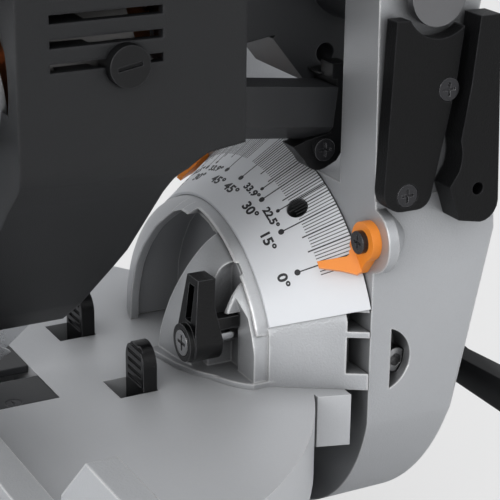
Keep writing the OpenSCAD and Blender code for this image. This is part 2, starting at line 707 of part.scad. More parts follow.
module bevel_stop_bolts() {
    color("#1a1a1a") at_bevel() both_sides() translate([arm_half - 12, stop_y, stop_z]) rotate([0, 90, 0]) {
        translate([0, 0, -14]) cylinder(r = 3, h = 15);
        difference() {
            translate([0, 0, eps]) cylinder(r = 5.1, h = 7);
            translate([0, 0, 3]) cylinder(r = 2.9, h = 8, $fn = 6);
        }
    }
}
module bevel_lock_handle() {
    color("#222222") at_bevel() {
        difference() {
            union() {
                y_cyl(15, 40.3, 60);
                hull() {
                    translate([0, 50, 0]) y_cyl(9, 0, 9);
                    translate([46, 62, -14]) y_cyl(6, 0, 9);
                }
                hull() {
                    translate([46, 62, -14]) y_cyl(6, 0, 9);
                    translate([80, 66, -16]) y_cyl(7.5, 0, 10);
                }
            }
            y_cyl(bevel_bolt_r + run, 30, 100);
        }
    }
}
module pivot_shaft() {
    color("dimgray") at_bevel() translate([0, pivot_y, pivot_z]) {
        x_cyl(pivot_r, -arm_half - 4, arm_half + 4);
        both_sides() x_cyl(12, arm_half + 1, arm_half + 5);
    }
}
spring_wire = 3.2;
hub_x0 = -22;
module return_spring() {
    // coils of the return spring side by side round the pivot, between the hub and the left cheek
    pitch = spring_wire * 1.06;
    color("dimgray") at_bevel() translate([hub_x0 - gap - spring_wire / 2, pivot_y, pivot_z]) rotate([0, -90, 0]) {
        for (i = [0:7]) translate([0, 0, i * pitch]) rotate_extrude() translate([14.5, 0]) circle(spring_wire / 2, $fn = 24);
    }
}

// ---------- head ----------
module at_head() { at_bevel() translate([0, blade_c[0], blade_c[1]]) children(); }
module guard_keep(low) {
    // what lies above a level just under the arbor, drawn in (y, z) about the arbor
    translate([-guard_r - 5, low]) square([2 * guard_r + 10, guard_r + 20]);
}
guard_low = -12;
module upper_guard() {
    wall = 3;
    color("#3b3c3e") at_head() difference() {
        along_x(-guard_half, guard_half) intersection() {
            circle(guard_r, $fn = 128);
            guard_keep(guard_low);
        }
        along_x(-guard_half + wall, guard_half - wall) intersection() {
            circle(guard_r - 4, $fn = 128);
            guard_keep(guard_low - 1);
        }
        x_cyl(30, -50, 50);
        translate([-50, -30, -60]) cube([100, 60, 60]);
        translate([0, blade_y + port_y, port_z - blade_z]) rotate([35, 0, 0]) y_cyl(13, -30, 60);
    }
}
module head_arm() {
    color("#2b2c2e") at_bevel() difference() {
        union() {
            translate([0, pivot_y, pivot_z]) x_cyl(21, hub_x0, cheek_in - 1.5);
            // lug that the transport pin holds
            along_x(hub_x0, 20) polygon([[24, 150], [21, 113], [1, 113], [-14, 132], [0, 150]]);
            along_x(-20, 20) polygon([[pivot_y + 2, pivot_z + 21], [pivot_y - 6, pivot_z - 20], [-48, 128],
                [-100, 118], [-100, 222], [-60, 208], [-20, 186]]);
        }
        translate([0, pivot_y, pivot_z]) x_cyl(pivot_r + run, -100, 100);
        translate([0, blade_c[0], blade_c[1]]) x_cyl(guard_r, -50, 50, $fn = 128);
        pin_place() x_cyl(4 + run, -30, 25);
    }
}
neck_r = 27;
module gear_case() {
    wall = 4;
    color("#2f3032") at_head() difference() {
        union() {
            x_cyl(29.5, 12, gear_x0 + eps);
            x_cyl(41, gear_x0, motor_x + 6);
            translate([motor_x, 0, 0]) rotate([motor_tilt, 0, 0]) y_cyl(neck_r, 0, 62);
        }
        x_cyl(34, gear_x0 + 8, motor_x + 2);
        translate([motor_x, 0, 0]) rotate([motor_tilt, 0, 0]) {
            y_cyl(22, 0, bearing_y[0]);
            y_cyl(11, 0, 70);
        }
        x_cyl(13.05, 0, gear_x0 + 9);
        x_cyl(10.05, motor_x, motor_x + 8);
        translate([32, 0, 30]) cylinder(r = 3 + run, h = 20);
    }
}
module motor_axis() { at_head() translate([motor_x, 0, 0]) rotate([motor_tilt, 0, 0]) children(); }
// Section of the motor housing across the blade, drawn in (x, z) above the bevel axis.
module housing_section(inset = 0) {
    t = tan(clear_a);
    drop = inset / cos(clear_a);
    polygon(concat([[22 + inset, 30 + 2 * drop], [34, 34 * t + 2.5 + drop], [87 - inset, (87 - inset) * t + 3 + drop]],
        arc([motor_x + 27, 118], 14 - inset, -30, 0, 5), arc([motor_x + 21, 190], 20 - inset, 0, 80, 8),
        [[22 + inset, 214 - inset]]));
}
// Rear and front outline of the housing, drawn on its slanted underside (along the slope, y).
module underside_plan(inset = 0) {
    r = 16 - inset;
    polygon(concat([[20, -110 - inset], [54, -104 - inset], [80, -98.3 - inset], [92, -96 - inset], [139, -93.6 - inset]],
        arc([139, -77.6], r, -90, -20, 6), [[155.5 - inset, -69 - inset], [300, -69 - inset], [300, -151.5 + inset],
        [20, -151.5 + inset]]));
}
module housing_solid(inset = 0) {
    at_bevel() intersection() {
        along_y(-280, 0) housing_section(inset);
        rotate([0, -clear_a, 0]) translate([0, 0, -40]) linear_extrude(300) underside_plan(inset);
    }
}
module motor_housing() {
    color("#3a3b3c") difference() {
        union() {
            difference() {
                housing_solid();
                housing_solid(4);
            }
            // webs that hold the field and the rear bearing
            intersection() {
                motor_axis() for (y = [78, 124]) y_cyl(60, y, y + 12);
                housing_solid(2);
            }
        }
        motor_axis() {
            y_cyl(field_r, 60, 120);
            y_cyl(11, 120, bearing_y[1] + 7);
            y_cyl(4.5, 120, 140);
        }
        at_head() x_cyl(41.3, 0, 80);
        motor_axis() y_cyl(neck_r + gap, 0, 62);
        // air slots and brush openings in the outer side
        at_bevel() for (z = [150:8:190]) translate([80, -140, z]) cube([40, 40, 3]);
        motor_axis() translate([0, brush_y, 0]) x_cyl(7.4, 30, 60);
    }
}
brush_y = 100;
module brush_caps() {
    color("#1d1d1d") motor_axis() translate([0, brush_y, 0]) difference() {
        x_cyl(7.2, 34.5, 44.8);
        translate([43.6, -4.5, -0.7]) cube([3, 9, 1.4]);
    }
}
field_r = 33;
bearing_y = [55, 128.5];
module motor_field() {
    color("#6b5a48") motor_axis() difference() {
        y_cyl(field_r, 66, 108);
        y_cyl(25, 60, 120);
        for (s = [-1, 1]) translate([-50, 60, s * field_r - 3]) cube([100, 60, 6]);
    }
}
pinion_teeth = 12;
pinion_r = 7.6;
module armature() {
    color("#a5672f") motor_axis() {
        y_cyl(4, 23.9, 136);
        y_cyl(23.5, 68, 106);
        y_cyl(12, 110, 122);
        y_cyl(pinion_r - 1.7, 18.8, 24);
        for (i = [0:pinion_teeth - 1]) rotate([0, 360 * i / pinion_teeth, 0])
            translate([-pinion_r, 18.8, -0.6]) cube([2.2, 5.2, 1.2]);
    }
}
module motor_bearings() {
    color("#c8cbd0") motor_axis() for (y = bearing_y) difference() {
        y_cyl(11, y, y + 7);
        y_cyl(4 + run, y - 1, y + 9);
    }
}
module crown_gear() {
    teeth = 3 * pinion_teeth;
    root_x = motor_x - pinion_r - 0.2;
    color("#8d9095") at_head() difference() {
        union() {
            x_cyl(24, root_x - 9, root_x);
            // a gap between two teeth faces the motor's axis
            for (i = [0:teeth - 1]) rotate([motor_tilt + 360 * (i + 0.5) / teeth, 0, 0])
                translate([root_x - 0.5, 19, -0.65]) cube([1.5, 4, 1.3]);
        }
        x_cyl(arbor_r, 30, 60);
    }
}
module spindle() {
    color("#9a9da2") at_head() {
        x_cyl(arbor_r, -blade_t / 2 - 5, motor_x + 5);
        x_cyl(10, motor_x - 6, motor_x + 6);
        x_cyl(13, gear_x0 + 1, gear_x0 + 8.5);
    }
}
module blade() {
    n = 40;
    color("#b9bcc0") at_head() difference() {
        x_cyl(blade_r - 3, -blade_t / 2 + 0.4, blade_t / 2 - 0.4);
        x_cyl(arbor_r, -10, 10);
    }
    color("#8f9296") at_head() for (i = [0:n - 1]) rotate([360 * i / n, 0, 0])
        along_x(-blade_t / 2, blade_t / 2) polygon([[blade_r - 7, -1], [blade_r - 0.3, 1.2], [blade_r - 1, -4.5], [blade_r - 7, -8]]);
}
module blade_flanges() {
    color("#7d8085") at_head() for (x = [[-blade_t / 2 - 5, -blade_t / 2], [blade_t / 2, blade_t / 2 + 5]]) difference() {
        x_cyl(22, x[0], x[1]);
        x_cyl(arbor_r, -20, 20);
    }
}
module arbor_bolt() {
    color("#303236") at_head() difference() {
        x_cyl(12, -16, -blade_t / 2 - 5);
        translate([-17, 0, 0]) rotate([0, 90, 0]) cylinder(r = 4.6, h = 7, $fn = 6);
    }
}
module lower_guard() {
    wall = 2;
    r = guard_r - 6;
    color([0.5, 0.5, 0.5, 0.5]) at_head() difference() {
        along_x(-11.5, 11.5) guard_sector(r);
        along_x(-11.5 + wall, 11.5 - wall) guard_sector(r - wall, 1);
        x_cyl(30, -50, 50);
    }
}
guard_a0 = 22;
guard_a1 = 192;
module guard_sector(r, extra = 0) {
    polygon(concat(arc([0, 0], r, guard_a0 - extra, guard_a1 + extra, 48), [[0, 0]]));
}
module dust_duct() {
    color("#2c2d2f") at_bevel() difference() {
        duct_place() along_y(-96, 0) duct_section();
        duct_place() along_y(-99, 3) polygon([[25.5, 7], [34, 7], [38.5, 12], [38.5, 25], [25.5, 25]]);
        at_duct_cut();
    }
}
duct_x = 40;
module duct_section() { polygon([[24, 5], [35, 5], [duct_x, 11], [duct_x, 27], [24, 27]]); }
module duct_place() { translate([0, 1.5, 88]) rotate([-6.8, 0, 0]) children(); }
module at_duct_cut() {
    // cleared where the motor housing covers the duct
    translate([0, -150, 0]) cube([200, 90, 300]);
}
module duct_bracket() {
    color("#1d1d1f") at_bevel() difference() {
        union() {
            along_x(29, 38) polygon(concat([[-14, 92]], arc([-2, 88], 7, 200, 290, 5), [[6, 84], [10, 90], [10, 124], [3, 124], [3, 96], [-8, 94]]));
            // tongue on the head arm
            translate([20 + gap, 2, 113.5]) cube([10, 7, 5.5]);
        }
        translate([0, -1, 90]) x_cyl(2.5, 20, 50);
        duct_place() along_y(-99, 0.3) polygon([[20, 4.9], [35, 4.9], [duct_x + 0.1, 11], [duct_x + 0.1, 30], [20, 30]]);
    }
}
module bracket_screw() {
    color("#303032") at_bevel() translate([0, -1, 90]) rotate([0, 90, 0]) {
        translate([0, 0, 31]) cylinder(r = 2.5, h = 7.5);
        translate([0, 0, 38]) screw_head(4.6, 2.6);
    }
}
handle_c = [-133, 144];
handle_rot = 35;
module handle_place() { at_head() translate([0, handle_c[0], handle_c[1]]) rotate([handle_rot, 0, 0]) children(); }
module main_handle() {
    color("#232425") handle_place() difference() {
        union() {
            along_x(-15, 15) difference() {
                rounded_outline(104, 62, 24);
                rounded_outline(70, 28, 13);
            }
            along_x(-12, 12) translate([40, -40]) square([26, 26]);
        }
        along_x(-7, 7) translate([-30, -21]) square([42, 14]);
        translate([0, trigger_pivot[0], trigger_pivot[1]]) x_cyl(2 + run, -10, 10);
        translate([0, -20, 22]) x_cyl(5 + run, -30, 30);
        rotate([-handle_rot, 0, 0]) translate([0, -handle_c[0], -handle_c[1]]) x_cyl(guard_r, -50, 50, $fn = 128);
    }
}
module rounded_outline(w, h, r) { translate([-w / 2, -h / 2]) rounded_square(w, h, r); }
trigger_pivot = [8, -17.5];
module trigger() {
    color("#d8701a") handle_place() {
        translate([0, 10, -15]) along_x(-6.5, 6.5) polygon([[0, 3], [-36, 3], [-38, 9], [-20, 6.5], [-4, 9], [0, 8]]);
        translate([0, trigger_pivot[0], trigger_pivot[1]]) {
            x_cyl(2, -9, 9);
            x_cyl(3, -6.5, 6.5);
            translate([-6.5, -3, 0]) cube([13, 5, 7]);
        }
    }
}
module lock_off_button() {
    color("#d8701a") handle_place() translate([0, -20, 22]) x_cyl(5, -19, 19);
}
module spindle_lock() {
    color("#c8701a") at_head() translate([32, 0, 34.5]) {
        cylinder(r = 3, h = 14);
        translate([0, 0, 13]) cylinder(r = 7, h = 5);
    }
}
module carry_handle() {
    color("#232425") at_head() difference() {
        along_x(-10, 10) difference() {
            translate([-36, guard_r - 34]) rounded_square(100, 72, 16);
            translate([-22, guard_r + 2]) rounded_square(72, 24, 10);
            circle(guard_r, $fn = 128);
        }
    }
}
pin_travel = 26;
module pin_place() { translate([0, pivot_y - 12, pivot_z - 34]) children(); }
module transport_pin() {
    color("#8a8c90") at_bevel() pin_place() {
        x_cyl(4, -arm_half - pin_travel - 10, -cheek_in + 10);
        x_cyl(9, -arm_half - pin_travel - 12, -arm_half - pin_travel - 2);
    }
}
port_y = -94;
port_z = 260;
module port_place() { at_bevel() translate([0, port_y, port_z]) rotate([35, 0, 0]) children(); }
module dust_port() {
    color("#202122") difference() {
        port_place() {
            y_cyl(18, -20, 12);
            y_cyl(16, 11, 66);
        }
        port_place() y_cyl(13, -40, 80);
        at_head() x_cyl(guard_r, -50, 50, $fn = 128);
    }
}
base_casting();
rubber_feet();
mitre_scale();
fence_right();
fence_left();
fence_bolts();
slide_fence_right();
slide_fence_left();
fence_knob_right();
fence_knob_left();
mitre_pivot_bolt();
turntable();
kerf_plates();
kerf_screws();
mitre_lock_knob();
detent_lever();
mitre_pointer();
bevel_drum();
drum_liner();
bevel_scale();
bevel_stop_lever();
bevel_stop_screw();
bevel_stop_pin();
table_tab_right();
table_tab_left();
bevel_bolt();
bevel_arm();
bevel_pointers();
pointer_screws();
arm_cover();
cable_cover();
arm_screws();
bevel_stop_bolts();
bevel_lock_handle();
pivot_shaft();
return_spring();
head_arm();
upper_guard();
gear_case();
motor_housing();
brush_caps();
motor_field();
armature();
motor_bearings();
crown_gear();
spindle();
blade();
blade_flanges();
arbor_bolt();
lower_guard();
dust_duct();
duct_bracket();
bracket_screw();
main_handle();
trigger();
lock_off_button();
spindle_lock();
carry_handle();
transport_pin();
dust_port();
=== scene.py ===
"""Dresses the mitre saw: a finish for each piece, the two printed scales, and the studio."""

import logging
import math
from dataclasses import dataclass, field
from enum import Enum

import bmesh
import bpy
from mathutils import Matrix, Vector


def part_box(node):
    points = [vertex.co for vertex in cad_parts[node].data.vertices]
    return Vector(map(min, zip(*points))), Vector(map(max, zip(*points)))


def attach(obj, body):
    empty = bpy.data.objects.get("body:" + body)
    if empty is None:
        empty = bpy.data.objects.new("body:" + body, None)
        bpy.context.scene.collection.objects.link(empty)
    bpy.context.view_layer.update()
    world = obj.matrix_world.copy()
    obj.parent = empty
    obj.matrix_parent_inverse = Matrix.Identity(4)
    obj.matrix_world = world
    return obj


LOG = logging.getLogger("mitre_saw")
BEVEL_ORIGIN = Vector((0.0, 0.170, 0.098))
BLADE_CENTRE = Vector((0.0, -0.042, 0.231))
COAT_ROUGHNESS = 0.15
CLEAR_IOR = 1.2
# reach of the painted shade in corners and pockets
PAINTED_SHADE_REACH = 0.022
EDGE_SAMPLES = 4
BOX_FACES = ((0, 1, 2, 3), (7, 6, 5, 4), (0, 4, 5, 1), (1, 5, 6, 2), (2, 6, 7, 3), (3, 7, 4, 0))
Colour = tuple[float, float, float]


class Axis(Enum):
    """Direction of the tool marks that a machining step leaves."""

    NONE = "none"
    TURNED_Z = "turned about the table's axis"
    TURNED_X = "turned about the blade's axis"


# --------------------------------------------------------------------------- shader groups


class GroupBuilder:
    """Builds one shader node group with named inputs and outputs."""

    def __init__(self, name: str) -> None:
        """Starts an empty group.

        Args:
            name: name of the node group.
        """
        self.tree = bpy.data.node_groups.new(name, "ShaderNodeTree")
        self.inside = self.tree.nodes.new("NodeGroupInput")
        self.outside = self.tree.nodes.new("NodeGroupOutput")

    def socket(self, name: str, kind: str, default: object = None, out: bool = False) -> None:
        """Adds one socket.

        Args:
            name: socket name.
            kind: Float, Color or Vector.
            default: start value of an input.
            out: True for an output.
        """
        made = self.tree.interface.new_socket(
            name=name, in_out="OUTPUT" if out else "INPUT", socket_type=f"NodeSocket{kind}")
        if default is not None:
            made.default_value = default

    def node(self, kind: str, **values: object) -> bpy.types.Node:
        """Adds one node and sets its properties. Returns the node."""
        made = self.tree.nodes.new(kind)
        for key, value in values.items():
            setattr(made, key, value)
        return made

    def math(self, operation: str, a: object, b: object = None) -> bpy.types.NodeSocket:
        """Adds a Math node.

        Args:
            operation: the Math node's operation.
            a: first socket or number.
            b: second socket or number.

        Returns:
            The value socket of the result.
        """
        made = self.node("ShaderNodeMath", operation=operation)
        for slot, value in enumerate((a, b)):
            if isinstance(value, bpy.types.NodeSocket):
                self.tree.links.new(value, made.inputs[slot])
            elif value is not None:
                made.inputs[slot].default_value = value
        return made.outputs[0]

    def link(self, source: bpy.types.NodeSocket, target: bpy.types.NodeSocket) -> None:
        """Joins two sockets."""
        self.tree.links.new(source, target)


def build_grain_group() -> bpy.types.NodeTree:
    """Makes the group for cast, moulded and blasted skins.

    Returns:
        A group with Color, Roughness and Height outputs.
    """
    g = GroupBuilder("Skin grain")
    g.socket("Color", "Color", (0.5, 0.5, 0.5, 1))
    g.socket("Cell", "Float", 900.0)
    g.socket("Patch", "Float", 30.0)
    g.socket("Tone", "Float", 0.08)
    g.socket("Roughness", "Float", 0.4)
    g.socket("Spread", "Float", 0.1)
    g.socket("Color", "Color", out=True)
    g.socket("Roughness", "Float", out=True)
    g.socket("Height", "Float", out=True)
    coord = g.node("ShaderNodeTexCoord")
    fine = g.node("ShaderNodeTexNoise")
    fine.inputs["Detail"].default_value = 3.0
    broad = g.node("ShaderNodeTexNoise")
    broad.inputs["Detail"].default_value = 4.0
    for noise, scale in ((fine, "Cell"), (broad, "Patch")):
        g.link(coord.outputs["Object"], noise.inputs["Vector"])
        g.link(g.inside.outputs[scale], noise.inputs["Scale"])
    blend = g.math("ADD", g.math("MULTIPLY", fine.outputs["Fac"], 0.35),
                   g.math("MULTIPLY", broad.outputs["Fac"], 0.65))
    swing = g.math("SUBTRACT", blend, 0.5)
    tone = g.math("ADD", g.math("MULTIPLY", swing, g.inside.outputs["Tone"]), 1.0)
    scaled = g.node("ShaderNodeVectorMath", operation="SCALE")
    g.link(g.inside.outputs["Color"], scaled.inputs[0])
    g.link(tone, scaled.inputs["Scale"])
    g.link(scaled.outputs[0], g.outside.inputs["Color"])
    spread = g.math("MULTIPLY", swing, g.inside.outputs["Spread"])
    g.link(g.math("ADD", g.inside.outputs["Roughness"], spread), g.outside.inputs["Roughness"])
    g.link(fine.outputs["Fac"], g.outside.inputs["Height"])
    return g.tree


def build_scuff_and_highlight_group() -> bpy.types.NodeTree:
    """Makes the group that finds outer edges and lightens them, as scuffs from handling and as a
    painted highlight along the edges.

    Returns:
        A group with a Color output and an Edge mask.
    """
    g = GroupBuilder("Edge highlight and scuffs")
    g.socket("Color", "Color", (0.5, 0.5, 0.5, 1))
    g.socket("Scuff and highlight colour", "Color", (0.8, 0.8, 0.8, 1))
    g.socket("Amount", "Float", 0.3)
    g.socket("Reach", "Float", 0.0006)
    g.socket("Color", "Color", out=True)
    g.socket("Edge", "Float", out=True)
    soft = g.node("ShaderNodeBevel", samples=EDGE_SAMPLES)
    g.link(g.inside.outputs["Reach"], soft.inputs["Radius"])
    geometry = g.node("ShaderNodeNewGeometry")
    dot = g.node("ShaderNodeVectorMath", operation="DOT_PRODUCT")
    g.link(soft.outputs["Normal"], dot.inputs[0])
    g.link(geometry.outputs["Normal"], dot.inputs[1])
    bend = g.math("MULTIPLY", g.math("SUBTRACT", 1.0, dot.outputs["Value"]), 6.0)
    coord = g.node("ShaderNodeTexCoord")
    patch = g.node("ShaderNodeTexNoise")
    patch.inputs["Scale"].default_value = 120.0
    g.link(coord.outputs["Object"], patch.inputs["Vector"])
    clamp = g.node("ShaderNodeClamp")
    patchy = g.math("MULTIPLY", bend, patch.outputs["Fac"])
    g.link(g.math("MULTIPLY", patchy, g.inside.outputs["Amount"]), clamp.inputs["Value"])
    mix = g.node("ShaderNodeMix", data_type="RGBA")
    g.link(clamp.outputs[0], mix.inputs["Factor"])
    g.link(g.inside.outputs["Color"], mix.inputs[6])
    g.link(g.inside.outputs["Scuff and highlight colour"], mix.inputs[7])
    g.link(mix.outputs[2], g.outside.inputs["Color"])
    g.link(clamp.outputs[0], g.outside.inputs["Edge"])
    return g.tree


def build_painted_shade_group() -> bpy.types.NodeTree:
    """Makes the group that darkens corners and pockets with painted shade, from an
    ambient-occlusion mask.

    Returns:
        A group with a Color output and a Recess mask.
    """
    g = GroupBuilder("Painted recess shade")
    g.socket("Color", "Color", (0.5, 0.5, 0.5, 1))
    g.socket("Depth", "Float", 0.4)
    g.socket("Reach", "Float", 0.02)
    g.socket("Color", "Color", out=True)
    g.socket("Recess", "Float", out=True)
    open_sky = g.node("ShaderNodeAmbientOcclusion", samples=6)
    g.link(g.inside.outputs["Reach"], open_sky.inputs["Distance"])
    hidden = g.math("SUBTRACT", 1.0, open_sky.outputs["AO"])
    keep = g.math("SUBTRACT", 1.0, g.math("MULTIPLY", hidden, g.inside.outputs["Depth"]))
    scaled = g.node("ShaderNodeVectorMath", operation="SCALE")
    g.link(g.inside.outputs["Color"], scaled.inputs[0])
    g.link(keep, scaled.inputs["Scale"])
    g.link(scaled.outputs[0], g.outside.inputs["Color"])
    g.link(hidden, g.outside.inputs["Recess"])
    return g.tree


def build_tool_marks_group() -> bpy.types.NodeTree:
    """Makes the group for turned rings.

    Returns:
        A group with a Height and a Mask that follow the distance from an axis.
    """
    g = GroupBuilder("Tool marks")
    g.socket("Centre", "Vector", (0, 0, 0))
    g.socket("Keep", "Vector", (1, 1, 0))
    g.socket("Pitch", "Float", 2500.0)
    g.socket("Height", "Float", out=True)
    g.socket("Mask", "Float", out=True)
    coord = g.node("ShaderNodeTexCoord")
    shift = g.node("ShaderNodeVectorMath", operation="SUBTRACT")
    keep = g.node("ShaderNodeVectorMath", operation="MULTIPLY")
    length = g.node("ShaderNodeVectorMath", operation="LENGTH")
    g.link(coord.outputs["Object"], shift.inputs[0])
    g.link(g.inside.outputs["Centre"], shift.inputs[1])
    g.link(shift.outputs[0], keep.inputs[0])
    g.link(g.inside.outputs["Keep"], keep.inputs[1])
    g.link(keep.outputs[0], length.inputs[0])
    for name, share in (("Height", 1.0), ("Mask", 0.11)):
        ring = g.node("ShaderNodeTexNoise", noise_dimensions="1D")
        ring.inputs["Scale"].default_value = 1.0
        ring.inputs["Detail"].default_value = 2.0
        pitch = g.math("MULTIPLY", g.inside.outputs["Pitch"], share)
        g.link(g.math("MULTIPLY", length.outputs["Value"], pitch), ring.inputs["W"])
        g.link(ring.outputs["Fac"], g.outside.inputs[name])
    return g.tree


class Effects:
    """The shader groups, each built once when it is first asked for."""

    _made: dict[str, bpy.types.NodeTree] = {}
    _makers = {"grain": build_grain_group, "scuff_and_highlight": build_scuff_and_highlight_group,
               "painted_shade": build_painted_shade_group, "marks": build_tool_marks_group}

    @classmethod
    def get(cls, name: str) -> bpy.types.NodeTree:
        """Returns the named shader group, built on first use."""
        if name not in cls._made:
            cls._made[name] = cls._makers[name]()
        return cls._made[name]


# --------------------------------------------------------------------------- finishes


@dataclass(frozen=True)
class Finish:
    """One surface finish, with the numbers that set its look.

    Sizes are in metres; cell and patch are noise frequencies per metre.
    """

    name: str
    colour: Colour
    metallic: float = 0.0
    roughness: float = 0.5
    spread: float = 0.12
    tone: float = 0.10
    cell: float = 900.0
    patch: float = 30.0
    relief: float = 0.00005
    edge: float = 0.0005
    # colour and amount of the lighter outer edges: scuffs and a painted edge highlight
    scuff_and_highlight_colour: Colour = (0.8, 0.8, 0.8)
    scuff_and_highlight: float = 0.0
    marks: Axis = Axis.NONE
    marks_relief: float = 0.00003
    pitch: float = 2500.0
    coat: float = 0.0
    specular: float = 0.5
    alpha: float = 1.0
    # depth of the painted shade in corners and pockets
    painted_shade: float = 0.0

    def material(self) -> bpy.types.Material:
        """Returns the finish as a node material, made once."""
        found = bpy.data.materials.get(self.name)
        if found:
            return found
        mat = bpy.data.materials.new(self.name)
        mat.use_nodes = True
        tree = mat.node_tree
        shader = tree.nodes["Principled BSDF"]
        shader.inputs["Metallic"].default_value = self.metallic
        shader.inputs["Specular IOR Level"].default_value = self.specular
        shader.inputs["Coat Weight"].default_value = self.coat
        shader.inputs["Coat Roughness"].default_value = COAT_ROUGHNESS
        grain = self._group(tree, "grain", {
            "Color": (*self.colour, 1), "Cell": self.cell, "Patch": self.patch,
            "Tone": self.tone, "Roughness": self.roughness, "Spread": self.spread})
        colour = grain.outputs["Color"]
        # lighten outer edges: scuffs and a painted edge highlight
        if self.scuff_and_highlight > 0:
            scuff_and_highlight = self._group(tree, "scuff_and_highlight", {
                "Scuff and highlight colour": (*self.scuff_and_highlight_colour, 1), "Amount": self.scuff_and_highlight, "Reach": self.edge})
            tree.links.new(colour, scuff_and_highlight.inputs["Color"])
            colour = scuff_and_highlight.outputs["Color"]
        # darken corners and pockets with painted shade
        if self.painted_shade > 0:
            shade = self._group(tree, "painted_shade", {"Depth": self.painted_shade, "Reach": PAINTED_SHADE_REACH})
            tree.links.new(colour, shade.inputs["Color"])
            colour = shade.outputs["Color"]
        tree.links.new(colour, shader.inputs["Base Color"])
        tree.links.new(grain.outputs["Roughness"], shader.inputs["Roughness"])
        rounded = tree.nodes.new("ShaderNodeBevel")
        rounded.samples = EDGE_SAMPLES
        rounded.inputs["Radius"].default_value = self.edge
        bump = self._bump(tree, grain.outputs["Height"], self.relief, rounded.outputs["Normal"])
        if self.marks is not Axis.NONE:
            marks = self._group(tree, "marks", self._marks_values())
            bump = self._bump(tree, marks.outputs["Height"], self.marks_relief,
                              bump.outputs["Normal"])
        tree.links.new(bump.outputs["Normal"], shader.inputs["Normal"])
        if self.alpha < 1:
            shader.inputs["Transmission Weight"].default_value = 1.0 - self.alpha
            shader.inputs["IOR"].default_value = CLEAR_IOR
        return mat

    def _marks_values(self) -> dict[str, object]:
        """Returns the tool-mark group's inputs for this finish's axis."""
        if self.marks is Axis.TURNED_Z:
            return {"Centre": (0, 0, 0), "Keep": (1, 1, 0), "Pitch": self.pitch}
        return {"Centre": tuple(BLADE_CENTRE), "Keep": (0, 1, 1), "Pitch": self.pitch}

    @staticmethod
    def _group(tree: bpy.types.NodeTree, name: str, values: dict[str, object]) -> bpy.types.Node:
        """Places a shader group in a material and sets its inputs. Returns the node."""
        node = tree.nodes.new("ShaderNodeGroup")
        node.node_tree = Effects.get(name)
        for key, value in values.items():
            node.inputs[key].default_value = value
        return node

    @staticmethod
    def _bump(tree: bpy.types.NodeTree, height: bpy.types.NodeSocket, depth: float,
              normal: bpy.types.NodeSocket) -> bpy.types.Node:
        """Adds a Bump node over a normal.

        Args:
            tree: the material's tree.
            height: socket that gives the relief.
            depth: depth of the relief in metres.
            normal: socket of the normal under it.

        Returns:
            The Bump node.
        """
        node = tree.nodes.new("ShaderNodeBump")
        node.inputs["Strength"].default_value = 1.0
        node.inputs["Distance"].default_value = depth
        tree.links.new(height, node.inputs["Height"])
        tree.links.new(normal, node.inputs["Normal"])
        return node


# Several finishes below darken their corners and pockets with painted shade.
# The pale edge colours below paint a highlight along the edges as well as scuffs.
CAST = Finish("Cast aluminium", (0.55, 0.56, 0.575),
    metallic=0.4, roughness=0.36, spread=0.18, tone=0.26, cell=1300, patch=24, relief=0.00016,
    edge=0.0012, scuff_and_highlight_colour=(1.0, 1.0, 1.0), scuff_and_highlight=2.4, painted_shade=0.9)
CAST_ARM = Finish("Cast aluminium arm", (0.50, 0.51, 0.525),
    metallic=0.5, roughness=0.36, spread=0.16, tone=0.18, cell=1500, patch=22, relief=0.00012,
    edge=0.0012, scuff_and_highlight_colour=(1.0, 1.0, 1.0), scuff_and_highlight=2.0, painted_shade=0.8)
MACHINED = Finish("Machined table", (0.62, 0.63, 0.645),
    metallic=0.25, roughness=0.40, spread=0.14, tone=0.16, cell=1100, patch=20, relief=0.00003,
    edge=0.0005, scuff_and_highlight_colour=(0.95, 0.95, 0.95), scuff_and_highlight=1.0, marks=Axis.TURNED_Z, marks_relief=0.00003,
    pitch=3800, painted_shade=0.6)
SCALE = Finish("Scale sheet", (0.73, 0.745, 0.77),
    metallic=0.10, roughness=0.42, spread=0.06, tone=0.05, cell=700, patch=18, relief=0.00001,
    edge=0.0003, scuff_and_highlight_colour=(0.9, 0.9, 0.9), scuff_and_highlight=0.1)
HOUSING = Finish("Housing shell", (0.011, 0.0115, 0.0125),
    metallic=0.0, roughness=0.46, spread=0.12, tone=0.22, cell=2600, patch=40, relief=0.00016,
    edge=0.0016, scuff_and_highlight_colour=(0.05, 0.05, 0.055), scuff_and_highlight=0.3, specular=0.35)
BLACK = Finish("Black moulding", (0.0045, 0.0046, 0.005),
    metallic=0.0, roughness=0.30, spread=0.12, tone=0.3, cell=2200, patch=60, relief=0.00009,
    edge=0.0007, scuff_and_highlight_colour=(0.06, 0.06, 0.065), scuff_and_highlight=0.5, specular=0.3)
COVER = Finish("Textured cover", (0.0030, 0.0031, 0.0034),
    metallic=0.0, roughness=0.42, spread=0.12, tone=0.4, cell=1700, patch=60, relief=0.00022,
    edge=0.0009, scuff_and_highlight_colour=(0.05, 0.05, 0.055), scuff_and_highlight=0.5, specular=0.2)
GLOSS = Finish("Glossy black moulding", (0.0030, 0.0031, 0.0034),
    metallic=0.0, roughness=0.24, spread=0.1, tone=0.3, cell=1500, patch=60, relief=0.00009,
    edge=0.0007, scuff_and_highlight_colour=(0.22, 0.22, 0.23), scuff_and_highlight=0.6, specular=0.3, painted_shade=0.7)
GREY = Finish("Dark grey moulding", (0.022, 0.023, 0.025),
    metallic=0.0, roughness=0.42, spread=0.12, tone=0.2, cell=2200, patch=50, relief=0.00010,
    edge=0.0009, scuff_and_highlight_colour=(0.09, 0.09, 0.095), scuff_and_highlight=0.3)
LINER = Finish("Chip liner", (0.30, 0.305, 0.315),
    metallic=0.2, roughness=0.5, spread=0.12, tone=0.22, cell=1500, patch=40, relief=0.00009,
    edge=0.0008, scuff_and_highlight_colour=(0.9, 0.9, 0.9), scuff_and_highlight=0.8, painted_shade=0.4)
